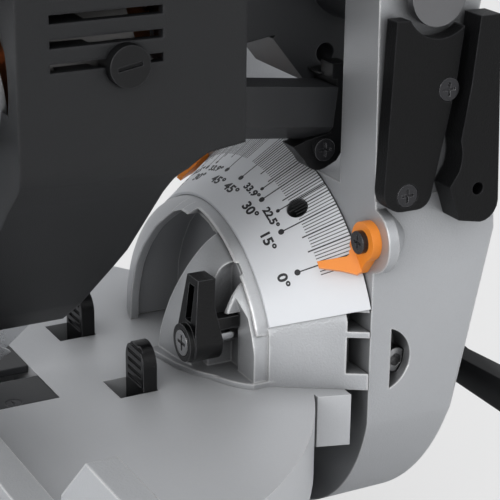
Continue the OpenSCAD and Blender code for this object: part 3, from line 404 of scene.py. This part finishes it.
POINTER = Finish("Orange pointer", (0.95, 0.29, 0.03),
    metallic=0.0, roughness=0.42, spread=0.08, tone=0.06, cell=1600, patch=60, relief=0.00003,
    edge=0.0004, scuff_and_highlight_colour=(1.0, 0.45, 0.12), scuff_and_highlight=0.2, coat=0.15)
ORANGE = Finish("Orange controls", (0.80, 0.20, 0.015),
    metallic=0.0, roughness=0.42, spread=0.1, tone=0.1, cell=1800, patch=60, relief=0.00006,
    edge=0.0005, scuff_and_highlight_colour=(0.9, 0.4, 0.15), scuff_and_highlight=0.2)
BRIGHT = Finish("Bright steel", (0.66, 0.665, 0.675),
    metallic=1.0, roughness=0.2, spread=0.1, tone=0.08, cell=1200, patch=40, relief=0.00002,
    edge=0.0003, scuff_and_highlight_colour=(0.9, 0.9, 0.9), scuff_and_highlight=0.2)
DARK_STEEL = Finish("Oiled steel", (0.20, 0.20, 0.205),
    metallic=1.0, roughness=0.34, spread=0.14, tone=0.2, cell=1400, patch=50, relief=0.00003,
    edge=0.0004, scuff_and_highlight_colour=(0.6, 0.6, 0.6), scuff_and_highlight=0.3)
SCREW = Finish("Zinc screw", (0.50, 0.50, 0.505),
    metallic=1.0, roughness=0.25, spread=0.12, tone=0.25, cell=1500, patch=80, relief=0.00005,
    edge=0.0004, scuff_and_highlight_colour=(0.8, 0.8, 0.8), scuff_and_highlight=0.7, painted_shade=0.6)
BLACK_STEEL = Finish("Blackened screws", (0.035, 0.035, 0.038),
    metallic=0.6, roughness=0.24, spread=0.12, tone=0.2, cell=1500, patch=80, relief=0.00003,
    edge=0.0004, scuff_and_highlight_colour=(0.35, 0.35, 0.36), scuff_and_highlight=0.6)
RUBBER = Finish("Rubber feet", (0.018, 0.018, 0.018),
    metallic=0.0, roughness=0.75, spread=0.1, tone=0.3, cell=1500, patch=60, relief=0.00010,
    edge=0.0006)
BLADE = Finish("Blade steel", (0.55, 0.56, 0.575),
    metallic=1.0, roughness=0.28, spread=0.14, tone=0.1, cell=900, patch=18, relief=0.00001,
    edge=0.0002, scuff_and_highlight_colour=(0.8, 0.8, 0.8), scuff_and_highlight=0.2, marks=Axis.TURNED_X, marks_relief=0.000012,
    pitch=5200)
GUARD = Finish("Clear guard", (0.62, 0.60, 0.56),
    metallic=0.0, roughness=0.12, spread=0.05, tone=0.05, cell=500, patch=12, relief=0.00001,
    edge=0.0004, alpha=0.25)
IRON = Finish("Field stampings", (0.22, 0.215, 0.21),
    metallic=0.9, roughness=0.5, spread=0.1, tone=0.25, cell=1600, patch=60, relief=0.00006,
    edge=0.0003)
COPPER = Finish("Varnished winding", (0.55, 0.22, 0.09),
    metallic=0.8, roughness=0.35, spread=0.1, tone=0.25, cell=1800, patch=60, relief=0.00008,
    edge=0.0003)
INK = Finish("Scale ink", (0.022, 0.022, 0.024),
    metallic=0.0, roughness=0.5, spread=0.1, tone=0.2, cell=2500, patch=60, relief=0.0,
    edge=0.00005)

# --------------------------------------------------------------------------- geometry helpers


class Shapes:
    """Makers of small closed meshes, in metres."""

    @staticmethod
    def smooth_tree() -> bpy.types.NodeTree:
        """Makes the tree that welds a carried-over solid and smooths it between its sharp edges.

        Returns:
            A geometry node group with an Angle input in radians.
        """
        found = bpy.data.node_groups.get("Smooth between edges")
        if found:
            return found
        tree = bpy.data.node_groups.new("Smooth between edges", "GeometryNodeTree")
        face = tree.interface
        face.new_socket(name="Geometry", in_out="INPUT", socket_type="NodeSocketGeometry")
        limit = face.new_socket(name="Angle", in_out="INPUT", socket_type="NodeSocketFloat")
        limit.default_value = 0.5
        face.new_socket(name="Geometry", in_out="OUTPUT", socket_type="NodeSocketGeometry")
        nodes, links = tree.nodes, tree.links
        source, target = nodes.new("NodeGroupInput"), nodes.new("NodeGroupOutput")
        weld = nodes.new("GeometryNodeMergeByDistance")
        weld.inputs["Distance"].default_value = 2e-6
        faces = nodes.new("GeometryNodeSetShadeSmooth")
        edges = nodes.new("GeometryNodeSetShadeSmooth")
        edges.domain = "EDGE"
        edges.inputs["Shade Smooth"].default_value = False
        angle = nodes.new("GeometryNodeInputMeshEdgeAngle")
        over = nodes.new("FunctionNodeCompare")
        over.data_type, over.operation = "FLOAT", "GREATER_THAN"
        links.new(source.outputs["Geometry"], weld.inputs["Geometry"])
        links.new(weld.outputs["Geometry"], faces.inputs["Geometry"])
        links.new(faces.outputs["Geometry"], edges.inputs["Geometry"])
        links.new(angle.outputs["Unsigned Angle"], over.inputs["A"])
        links.new(source.outputs["Angle"], over.inputs["B"])
        links.new(over.outputs["Result"], edges.inputs["Selection"])
        links.new(edges.outputs["Geometry"], target.inputs["Geometry"])
        return tree

    @staticmethod
    def smooth(obj: bpy.types.Object, degrees: float = 32.0) -> None:
        """Smooths a carried-over solid's round faces.

        Args:
            obj: the solid's object.
            degrees: edges sharper than this stay sharp.
        """
        tree = Shapes.smooth_tree()
        modifier = obj.modifiers.new("Smooth between edges", "NODES")
        modifier.node_group = tree
        for item in tree.interface.items_tree:
            if item.name == "Angle":
                modifier[item.identifier] = math.radians(degrees)

    @staticmethod
    def from_bmesh(name: str, bm: bmesh.types.BMesh, finish: Finish) -> bpy.types.Object:
        """Turns a bmesh into a linked object with its finish.

        Args:
            name: name of the object and its mesh.
            bm: the shape, which is freed.
            finish: the look of its faces.

        Returns:
            The new object.
        """
        bmesh.ops.recalc_face_normals(bm, faces=bm.faces)
        mesh = bpy.data.meshes.new(name)
        bm.to_mesh(mesh)
        bm.free()
        mesh.materials.append(finish.material())
        obj = bpy.data.objects.new(name, mesh)
        bpy.context.scene.collection.objects.link(obj)
        return obj

    @staticmethod
    def glyphs(text: str, size: float, bold: float) -> bpy.types.Mesh:
        """Makes raised lettering in the XY plane, centred on the origin.

        Args:
            text: the number to draw.
            size: height of the letters' em.
            bold: outward offset of the outline.

        Returns:
            The mesh of the extruded text.
        """
        curve = bpy.data.curves.new("number", "FONT")
        curve.body, curve.size, curve.extrude, curve.offset = text, size, 0.00004, bold
        curve.align_x, curve.align_y = "LEFT", "BOTTOM_BASELINE"
        curve.resolution_u = 4
        holder = bpy.data.objects.new("number", curve)
        bpy.context.scene.collection.objects.link(holder)
        graph = bpy.context.evaluated_depsgraph_get()
        mesh = bpy.data.meshes.new_from_object(holder.evaluated_get(graph))
        bpy.data.objects.remove(holder)
        bpy.data.curves.remove(curve)
        return mesh


# --------------------------------------------------------------------------- sub-assemblies


@dataclass
class SubAssembly:
    """A group of carried-over solids and their finishes."""

    name: str
    finishes: dict[str, Finish]
    smooth_angle: float = 32.0

    def dress(self, nodes: dict[str, bpy.types.Object]) -> None:
        """Gives each solid its finish and smooths its round faces.

        Args:
            nodes: the frame's solids by name.
        """
        for node, finish in self.finishes.items():
            obj = nodes[node]
            obj.data.materials.clear()
            obj.data.materials.append(finish.material())
            Shapes.smooth(obj, self.smooth_angle)
        LOG.info("%s: %d solids dressed", self.name, len(self.finishes))


@dataclass(frozen=True)
class Mark:
    """One size of mark on the bevel scale, in metres along the cone from the rear rim."""

    dot_place: float
    dot_radius: float
    baseline: float
    digits: float


MAJOR = Mark(dot_place=-0.0205, dot_radius=0.00125, baseline=-0.0273, digits=0.0056)
MINOR = Mark(dot_place=-0.0181, dot_radius=0.00085, baseline=-0.0224, digits=0.0043)


@dataclass
class ConeScale:
    """The printed bevel scale: dots, lines, ticks and numbers on a cone about the bevel axis."""

    rim_radius: float = 0.085
    slope: float = 0.6595
    zero_angle: float = 50.0
    ink_height: float = 0.00005
    tick_width: float = 0.00036
    line_width: float = 0.00055
    tick_length: float = 0.0133
    long_length: float = 0.0150
    slope_share: float = 0.835
    widen: float = 1.18
    majors: dict[float, str] = field(
        default_factory=lambda: {0: "0", 15: "15", 30: "30", 45: "45"})
    minors: dict[float, str] = field(default_factory=lambda: {22.5: "22.5", 33.9: "33.9"})
    shifts: dict[float, float] = field(default_factory=lambda: {33.9: -2.9})

    def place(self, angle: float, along: float, lift: float = 0.0) -> Vector:
        """Returns the point at an angle from the top and a distance from the rear rim."""
        radius = self.rim_radius + self.slope * along
        turn, tilt = math.radians(angle), math.atan(self.slope)
        out = Vector((math.sin(turn) * math.cos(tilt), -math.sin(tilt),
                      math.cos(turn) * math.cos(tilt)))
        spot = Vector((radius * math.sin(turn), along, radius * math.cos(turn)))
        return BEVEL_ORIGIN + spot + out * lift

    def tick_tree(self) -> bpy.types.NodeTree:
        """Makes the tree that sets straight ticks side by side round the cone's rear rim.

        Returns:
            A geometry node group with named inputs for the row's sizes.
        """
        tree = bpy.data.node_groups.new("Rim ticks", "GeometryNodeTree")
        face = tree.interface
        face.new_socket(name="Geometry", in_out="INPUT", socket_type="NodeSocketGeometry")
        for name, kind in (("Count", "Int"), ("First", "Float"), ("Step", "Float"),
                           ("Width", "Float"), ("Length", "Float"), ("Start", "Float"),
                           ("Height", "Float"), ("Radius", "Float"), ("Tilt", "Float"),
                           ("Centre", "Vector"), ("Ink", "Material")):
            face.new_socket(name=name, in_out="INPUT", socket_type=f"NodeSocket{kind}")
        face.new_socket(name="Geometry", in_out="OUTPUT", socket_type="NodeSocketGeometry")
        nodes, links = tree.nodes, tree.links
        given, result = nodes.new("NodeGroupInput"), nodes.new("NodeGroupOutput")

        def calc(operation: str, a: object, b: object) -> bpy.types.NodeSocket:
            """Adds a Math node.

            Args:
                operation: the node's operation.
                a: first socket or number.
                b: second socket or number, or None.

            Returns:
                The node's result.
            """
            made = nodes.new("ShaderNodeMath")
            made.operation = operation
            for slot, value in enumerate((a, b)):
                if isinstance(value, bpy.types.NodeSocket):
                    links.new(value, made.inputs[slot])
                elif value is not None:
                    made.inputs[slot].default_value = value
            return made.outputs[0]

        row = nodes.new("GeometryNodeMeshLine")
        links.new(given.outputs["Count"], row.inputs["Count"])
        index = nodes.new("GeometryNodeInputIndex")
        angle = calc("ADD", given.outputs["First"],
                     calc("MULTIPLY", index.outputs[0], given.outputs["Step"]))
        spot = nodes.new("ShaderNodeCombineXYZ")
        for operation, axis in (("SINE", "X"), ("COSINE", "Z")):
            reach = calc("MULTIPLY", calc(operation, angle, None), given.outputs["Radius"])
            links.new(reach, spot.inputs[axis])
        moved = nodes.new("ShaderNodeVectorMath")
        links.new(spot.outputs[0], moved.inputs[0])
        links.new(given.outputs["Centre"], moved.inputs[1])
        put = nodes.new("GeometryNodeSetPosition")
        links.new(row.outputs[0], put.inputs["Geometry"])
        links.new(moved.outputs[0], put.inputs["Position"])
        bar = nodes.new("GeometryNodeMeshCube")
        size = nodes.new("ShaderNodeCombineXYZ")
        for axis, name in (("X", "Width"), ("Y", "Length"), ("Z", "Height")):
            links.new(given.outputs[name], size.inputs[axis])
        links.new(size.outputs[0], bar.inputs["Size"])
        offset = nodes.new("ShaderNodeCombineXYZ")
        middle = calc("MULTIPLY", given.outputs["Length"], -0.5)
        links.new(calc("SUBTRACT", middle, given.outputs["Start"]), offset.inputs["Y"])
        shift = nodes.new("GeometryNodeTransform")
        links.new(bar.outputs["Mesh"], shift.inputs["Geometry"])
        links.new(offset.outputs[0], shift.inputs["Translation"])
        turn = nodes.new("ShaderNodeCombineXYZ")
        links.new(given.outputs["Tilt"], turn.inputs["X"])
        links.new(angle, turn.inputs["Y"])
        euler = nodes.new("FunctionNodeEulerToRotation")
        links.new(turn.outputs[0], euler.inputs[0])
        copies = nodes.new("GeometryNodeInstanceOnPoints")
        links.new(put.outputs[0], copies.inputs["Points"])
        links.new(shift.outputs[0], copies.inputs["Instance"])
        links.new(euler.outputs[0], copies.inputs["Rotation"])
        real = nodes.new("GeometryNodeRealizeInstances")
        links.new(copies.outputs[0], real.inputs[0])
        ink = nodes.new("GeometryNodeSetMaterial")
        links.new(real.outputs[0], ink.inputs["Geometry"])
        links.new(given.outputs["Ink"], ink.inputs["Material"])
        links.new(ink.outputs[0], result.inputs["Geometry"])
        return tree

    def ticks(self, name: str, tree: bpy.types.NodeTree, finish: Finish,
              **values: object) -> bpy.types.Object:
        """Runs the tick tree once and keeps its result as a plain mesh.

        Args:
            name: name of the new piece.
            tree: the tick tree.
            finish: the ink.
            values: inputs of the tree by name.

        Returns:
            The new object, which has no modifier left.
        """
        carrier = bpy.data.objects.new(name + "_carrier",
                                       bpy.data.meshes.new(name + "_carrier"))
        bpy.context.scene.collection.objects.link(carrier)
        modifier = carrier.modifiers.new("Rim ticks", "NODES")
        modifier.node_group = tree
        settings = {"Radius": self.rim_radius, "Tilt": math.atan(self.slope),
                    "Centre": tuple(BEVEL_ORIGIN), "Height": self.ink_height, "Start": 0.0,
                    "Ink": finish.material(), **values}
        for item in tree.interface.items_tree:
            if item.in_out == "INPUT" and item.name in settings:
                modifier[item.identifier] = settings[item.name]
        graph = bpy.context.evaluated_depsgraph_get()
        mesh = bpy.data.meshes.new_from_object(carrier.evaluated_get(graph))
        mesh.name = name
        bpy.data.objects.remove(carrier)
        obj = bpy.data.objects.new(name, mesh)
        bpy.context.scene.collection.objects.link(obj)
        return obj

    def add_line(self, bm: bmesh.types.BMesh, angle: float, front: float, rear: float,
                 width: float) -> None:
        """Adds a straight bar along the cone.

        Args:
            bm: the shape that takes the bar.
            angle: degrees from the top.
            front: distance of its front end from the rear rim.
            rear: distance of its rear end from the rear rim.
            width: width of the bar.
        """
        half = math.degrees(width / 2 / (self.rim_radius + self.slope * (front + rear) / 2))
        outline = ((front, -half), (front, half), (rear, half), (rear, -half))
        corners = [self.place(angle + da, along, lift)
                   for lift in (-self.ink_height / 2, self.ink_height / 2)
                   for along, da in outline]
        verts = [bm.verts.new(c) for c in corners]
        for loop in BOX_FACES:
            bm.faces.new([verts[i] for i in loop])

    def add_dot(self, bm: bmesh.types.BMesh, angle: float, along: float, radius: float,
                sides: int = 28) -> None:
        """Adds a thin round dot on the cone.

        Args:
            bm: the shape that takes the dot.
            angle: degrees from the top.
            along: distance of its middle from the rear rim.
            radius: radius of the dot.
            sides: corners of its outline.
        """
        rings = []
        for lift in (-self.ink_height / 2, self.ink_height / 2 + 0.00001):
            ring = []
            for i in range(sides):
                t = 2 * math.pi * i / sides
                step = radius * math.sin(t) * math.cos(math.atan(self.slope))
                local = self.rim_radius + self.slope * along
                turned = angle + math.degrees(radius * math.cos(t) / local)
                ring.append(bm.verts.new(self.place(turned, along + step, lift)))
            rings.append(ring)
        bm.faces.new(rings[0])
        bm.faces.new(list(reversed(rings[1])))
        for i in range(sides):
            j = (i + 1) % sides
            bm.faces.new((rings[0][i], rings[1][i], rings[1][j], rings[0][j]))

    def add_number(self, bm: bmesh.types.BMesh, text: str, angle: float, along: float,
                   size: float, bold: float = 0.00019) -> None:
        """Bends a number onto the cone.

        Args:
            bm: the shape that takes the number.
            text: the number with its degree sign.
            angle: degrees from the top to the middle of its digits.
            along: distance of its baseline from the rear rim.
            size: height of the letters' em.
            bold: outward offset of the outline.
        """
        mesh = Shapes.glyphs(text, size, bold)
        digits = Shapes.glyphs(text.replace("°", ""), size, bold)
        across = [v.co.x for v in digits.vertices]
        middle = (min(across) + max(across)) / 2
        local = self.rim_radius + self.slope * along
        cosine = math.cos(math.atan(self.slope))
        made = [bm.verts.new(self.place(
            angle + math.degrees((v.co.x - middle) * self.widen / local),
            along + v.co.y * cosine, v.co.z)) for v in mesh.vertices]
        for polygon in mesh.polygons:
            bm.faces.new([made[i] for i in polygon.vertices])
        bpy.data.meshes.remove(mesh)
        bpy.data.meshes.remove(digits)

    def build(self) -> list[bpy.types.Object]:
        """Makes the ticks, lines, dots and numbers. Returns the new pieces."""
        tree = self.tick_tree()
        pieces = []
        for side, label in ((1, "right"), (-1, "left")):
            pieces.append(self.ticks(
                f"scale_ticks_{label}", tree, INK, Count=52,
                First=math.radians(side * (self.zero_angle + 3)), Step=math.radians(-side),
                Width=self.tick_width, Length=self.tick_length / self.slope_share))
            pieces.append(self.ticks(
                f"scale_long_ticks_{label}", tree, INK, Count=10,
                First=math.radians(side * self.zero_angle), Step=math.radians(-5 * side),
                Width=self.line_width, Length=self.long_length / self.slope_share))
            bm = bmesh.new()
            for value, text in {**self.majors, **self.minors}.items():
                mark = MAJOR if value in self.majors else MINOR
                angle = side * (self.zero_angle - value)
                self.add_line(bm, angle, mark.dot_place, 0.0, self.line_width)
                self.add_dot(bm, angle, mark.dot_place, mark.dot_radius)
                shift = self.shifts.get(value, 0.0) * side
                self.add_number(bm, text + "°", angle + shift, mark.baseline, mark.digits)
            pieces.append(Shapes.from_bmesh(f"scale_numbers_{label}", bm, INK))
        for piece in pieces:
            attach(piece, "table")
        LOG.info("bevel scale: %d printed pieces", len(pieces))
        return pieces


@dataclass
class FloorScale:
    """The printed mitre scale on the base's front ring."""

    outer: float = 0.0
    top: float = 0.0
    rim_gap: float = 0.0012
    line_width: float = 0.00035
    lengths: tuple[float, float, float] = (0.0045, 0.0075, 0.0095)
    half_ink: float = 0.00003
    digits: float = 0.0058
    bold: float = 0.00004
    baseline: float = 0.0135

    def measure(self) -> None:
        """Reads the ring's place from the carried-over solid."""
        low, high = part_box("mitre_scale")
        self.top = high[2]
        self.outer = -low[1]

    def build(self) -> bpy.types.Object:
        """Makes the degree lines and the numbers of the mitre scale. Returns the piece."""
        self.measure()
        bm = bmesh.new()
        for value in range(-50, 51):
            length = self.lengths[(value % 5 == 0) + (value % 15 == 0)]
            rim = self.outer - self.rim_gap
            self._bar(bm, value, rim, rim - length, self.line_width)
        for value in (0, 15, 22.5, 30, 45):
            for sign in ((1,) if value == 0 else (1, -1)):
                self._number(bm, f"{value:g}°", sign * value)
        piece = Shapes.from_bmesh("mitre_scale_numbers", bm, INK)
        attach(piece, "base")
        LOG.info("mitre scale: printed")
        return piece

    def _bar(self, bm: bmesh.types.BMesh, value: float, outer: float, inner: float,
             width: float) -> None:
        """Adds one radial line at a mitre angle.

        Args:
            bm: the shape that takes the line.
            value: mitre angle in degrees.
            outer: radius of its outer end.
            inner: radius of its inner end.
            width: width of the line.
        """
        turn = Matrix.Rotation(math.radians(value), 4, "Z")
        half = width / 2
        outline = ((-half, outer), (half, outer), (half, inner), (-half, inner))
        corners = [turn @ Vector((x, -r, self.top + z))
                   for z in (-self.half_ink, self.half_ink) for x, r in outline]
        verts = [bm.verts.new(c) for c in corners]
        for loop in BOX_FACES:
            bm.faces.new([verts[i] for i in loop])

    def _number(self, bm: bmesh.types.BMesh, text: str, value: float) -> None:
        """Adds one number under its line, upright for the operator.

        Args:
            bm: the shape that takes the number.
            text: the number with its degree sign.
            value: mitre angle in degrees.
        """
        mesh = Shapes.glyphs(text, self.digits, self.bold)
        across = [v.co.x for v in mesh.vertices]
        middle = (min(across) + max(across)) / 2
        turn = Matrix.Rotation(math.radians(value), 4, "Z")
        made = [bm.verts.new(turn @ Vector((
            v.co.x - middle, v.co.y - self.outer + self.baseline, self.top + v.co.z)))
            for v in mesh.vertices]
        for polygon in mesh.polygons:
            bm.faces.new([made[i] for i in polygon.vertices])
        bpy.data.meshes.remove(mesh)


# --------------------------------------------------------------------------- studio


@dataclass
class Studio:
    """Camera, lamps, world and floor."""

    target: tuple[float, float, float] = (0.0130325, 0.1505186, 0.1394165)
    azimuth: float = 28.2624
    elevation: float = 20.25465
    roll: float = 0.7339
    distance: float = 0.700
    lens: float = 120.945
    sensor: float = 36.0
    floor_half: float = 40.0
    floor_level: float = -0.0002
    floor_glow: float = 0.9
    floor_share: float = 0.72
    world_colour: tuple[float, float, float, float] = (0.62, 0.63, 0.65, 1)
    world_strength: float = 0.74

    def camera(self) -> None:
        """Sets the camera on the operator's right, in front of and above the bevel joint."""
        azimuth, elevation, roll = map(math.radians, (self.azimuth, self.elevation, self.roll))
        back = Vector((math.cos(elevation) * math.cos(azimuth),
                       -math.cos(elevation) * math.sin(azimuth), math.sin(elevation)))
        side = Vector((math.sin(azimuth), math.cos(azimuth), 0.0))
        over = back.cross(side)
        right = side * math.cos(roll) + over * math.sin(roll)
        up = over * math.cos(roll) - side * math.sin(roll)
        place = Vector(self.target) + back * self.distance
        data = bpy.data.cameras.new("camera")
        data.lens, data.sensor_width = self.lens, self.sensor
        data.clip_start, data.clip_end = 0.02, 100.0
        obj = bpy.data.objects.new("camera", data)
        obj.matrix_world = Matrix((
            (right.x, up.x, back.x, place.x), (right.y, up.y, back.y, place.y),
            (right.z, up.z, back.z, place.z), (0, 0, 0, 1)))
        bpy.context.scene.collection.objects.link(obj)
        bpy.context.scene.camera = obj

    def lamp(self, name: str, place: tuple[float, float, float], watts: float, size: float,
             aim: tuple[float, float, float] = (0, 0.12, 0.15)) -> None:
        """Adds a soft square lamp.

        Args:
            name: name of the lamp.
            place: its position in metres.
            watts: its power.
            size: its edge length.
            aim: the point that it faces.
        """
        data = bpy.data.lights.new(name, "AREA")
        data.energy, data.size = watts, size
        obj = bpy.data.objects.new(name, data)
        obj.location = place
        facing = Vector(aim) - Vector(place)
        obj.rotation_euler = facing.to_track_quat("-Z", "Y").to_euler()
        bpy.context.scene.collection.objects.link(obj)

    def world(self) -> None:
        """Sets an even grey world that shows white behind the part."""
        world = bpy.data.worlds.new("studio")
        world.use_nodes = True
        tree = world.node_tree
        out = tree.nodes["World Output"]
        even = tree.nodes["Background"]
        even.inputs["Color"].default_value = self.world_colour
        even.inputs["Strength"].default_value = self.world_strength
        white = tree.nodes.new("ShaderNodeBackground")
        white.inputs["Color"].default_value = (1, 1, 1, 1)
        seen = tree.nodes.new("ShaderNodeLightPath")
        mix = tree.nodes.new("ShaderNodeMixShader")
        tree.links.new(seen.outputs["Is Camera Ray"], mix.inputs[0])
        tree.links.new(even.outputs[0], mix.inputs[1])
        tree.links.new(white.outputs[0], mix.inputs[2])
        tree.links.new(mix.outputs[0], out.inputs["Surface"])
        bpy.context.scene.world = world

    def floor(self) -> None:
        """Adds a plain pale floor."""
        bm = bmesh.new()
        half = self.floor_half
        bm.faces.new([bm.verts.new((x * half, y * half, self.floor_level))
                      for x, y in ((-1, -1), (1, -1), (1, 1), (-1, 1))])
        pale = Finish("Pale floor", (0.80, 0.80, 0.80), roughness=0.7, spread=0.05, tone=0.02,
                      cell=40, patch=2, relief=0.0, edge=0.0001)
        obj = Shapes.from_bmesh("floor", bm, pale)
        self._whiten(pale.material())

    def _whiten(self, mat: bpy.types.Material) -> None:
        """Makes the floor read as white where the camera sees it, with its shadows kept.

        Args:
            mat: the floor's material.
        """
        tree = mat.node_tree
        out = next(n for n in tree.nodes if n.type == "OUTPUT_MATERIAL")
        shader = tree.nodes["Principled BSDF"]
        glow = tree.nodes.new("ShaderNodeEmission")
        glow.inputs["Color"].default_value = (1, 1, 1, 1)
        glow.inputs["Strength"].default_value = self.floor_glow
        seen = tree.nodes.new("ShaderNodeLightPath")
        mix = tree.nodes.new("ShaderNodeMixShader")
        share = tree.nodes.new("ShaderNodeMath")
        share.operation = "MULTIPLY"
        share.inputs[1].default_value = self.floor_share
        tree.links.new(seen.outputs["Is Camera Ray"], share.inputs[0])
        tree.links.new(share.outputs[0], mix.inputs[0])
        tree.links.new(shader.outputs[0], mix.inputs[1])
        tree.links.new(glow.outputs[0], mix.inputs[2])
        tree.links.new(mix.outputs[0], out.inputs["Surface"])

    def build(self) -> None:
        """Makes the whole studio."""
        self.camera()
        self.world()
        self.floor()
        self.lamp("right", (1.9, -0.8, 1.35), watts=13.0, size=2.0)
        self.lamp("top", (0.2, -0.3, 2.2), watts=13.0, size=2.0)
        self.lamp("front", (0.9, -1.9, 0.8), watts=22.0, size=1.4)
        self.lamp("behind", (1.6, 1.6, 0.9), watts=5.0, size=1.4)
        bpy.context.scene.view_settings.view_transform = "Standard"
        LOG.info("studio: camera, world, floor and four lamps")


SUB_ASSEMBLIES = (
    SubAssembly("base and fence", {
        "base_casting": CAST, "rubber_feet": RUBBER, "mitre_scale": SCALE, "fence_right": CAST,
        "fence_left": CAST, "fence_bolts": DARK_STEEL, "slide_fence_right": CAST,
        "slide_fence_left": CAST, "fence_knob_right": BLACK, "fence_knob_left": BLACK,
        "mitre_pivot_bolt": DARK_STEEL}),
    SubAssembly("turntable", {
        "turntable": MACHINED, "kerf_plates": GREY, "kerf_screws": BLACK_STEEL,
        "mitre_lock_knob": BLACK, "detent_lever": BLACK, "mitre_pointer": POINTER,
        "table_tab_right": GLOSS, "table_tab_left": GLOSS}),
    SubAssembly("bevel joint", {
        "bevel_drum": CAST, "drum_liner": LINER, "bevel_scale": SCALE, "bevel_stop_lever": GLOSS,
        "bevel_stop_screw": SCREW, "bevel_stop_pin": BRIGHT, "bevel_bolt": DARK_STEEL}),
    SubAssembly("bevel arm", {
        "bevel_arm": CAST_ARM, "bevel_pointers": POINTER, "pointer_screws": BLACK_STEEL,
        "arm_cover": COVER, "cable_cover": COVER, "arm_screws": BLACK_STEEL,
        "bevel_stop_bolts": SCREW, "bevel_lock_handle": BLACK, "pivot_shaft": DARK_STEEL,
        "return_spring": DARK_STEEL, "transport_pin": BRIGHT}),
    SubAssembly("head", {
        "head_arm": GREY, "upper_guard": GREY, "gear_case": CAST, "motor_housing": HOUSING,
        "brush_caps": BLACK, "motor_field": IRON, "armature": COPPER, "motor_bearings": BRIGHT,
        "crown_gear": DARK_STEEL, "spindle": BRIGHT, "blade": BLADE, "blade_flanges": DARK_STEEL,
        "arbor_bolt": BLACK_STEEL, "lower_guard": GUARD, "dust_duct": GREY, "duct_bracket": BLACK,
        "bracket_screw": BLACK_STEEL, "main_handle": BLACK, "trigger": ORANGE,
        "lock_off_button": ORANGE, "spindle_lock": ORANGE, "carry_handle": BLACK,
        "dust_port": BLACK}),
)


def main() -> None:
    """Builds the studio, dresses every sub-assembly and prints the scales."""
    logging.basicConfig(level=logging.INFO, format="%(name)s %(message)s")
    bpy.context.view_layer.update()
    Studio().build()
    for group in SUB_ASSEMBLIES:
        group.dress(frame["nodes"])
    ConeScale().build()
    FloorScale().build()
    LOG.info("sizes written")


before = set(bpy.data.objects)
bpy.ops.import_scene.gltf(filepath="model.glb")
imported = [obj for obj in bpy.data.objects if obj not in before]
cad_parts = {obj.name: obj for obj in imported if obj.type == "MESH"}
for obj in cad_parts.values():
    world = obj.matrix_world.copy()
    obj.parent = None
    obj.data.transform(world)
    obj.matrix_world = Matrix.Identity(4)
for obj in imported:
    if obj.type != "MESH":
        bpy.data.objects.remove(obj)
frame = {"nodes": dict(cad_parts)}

if __name__ == "__main__":
    main()
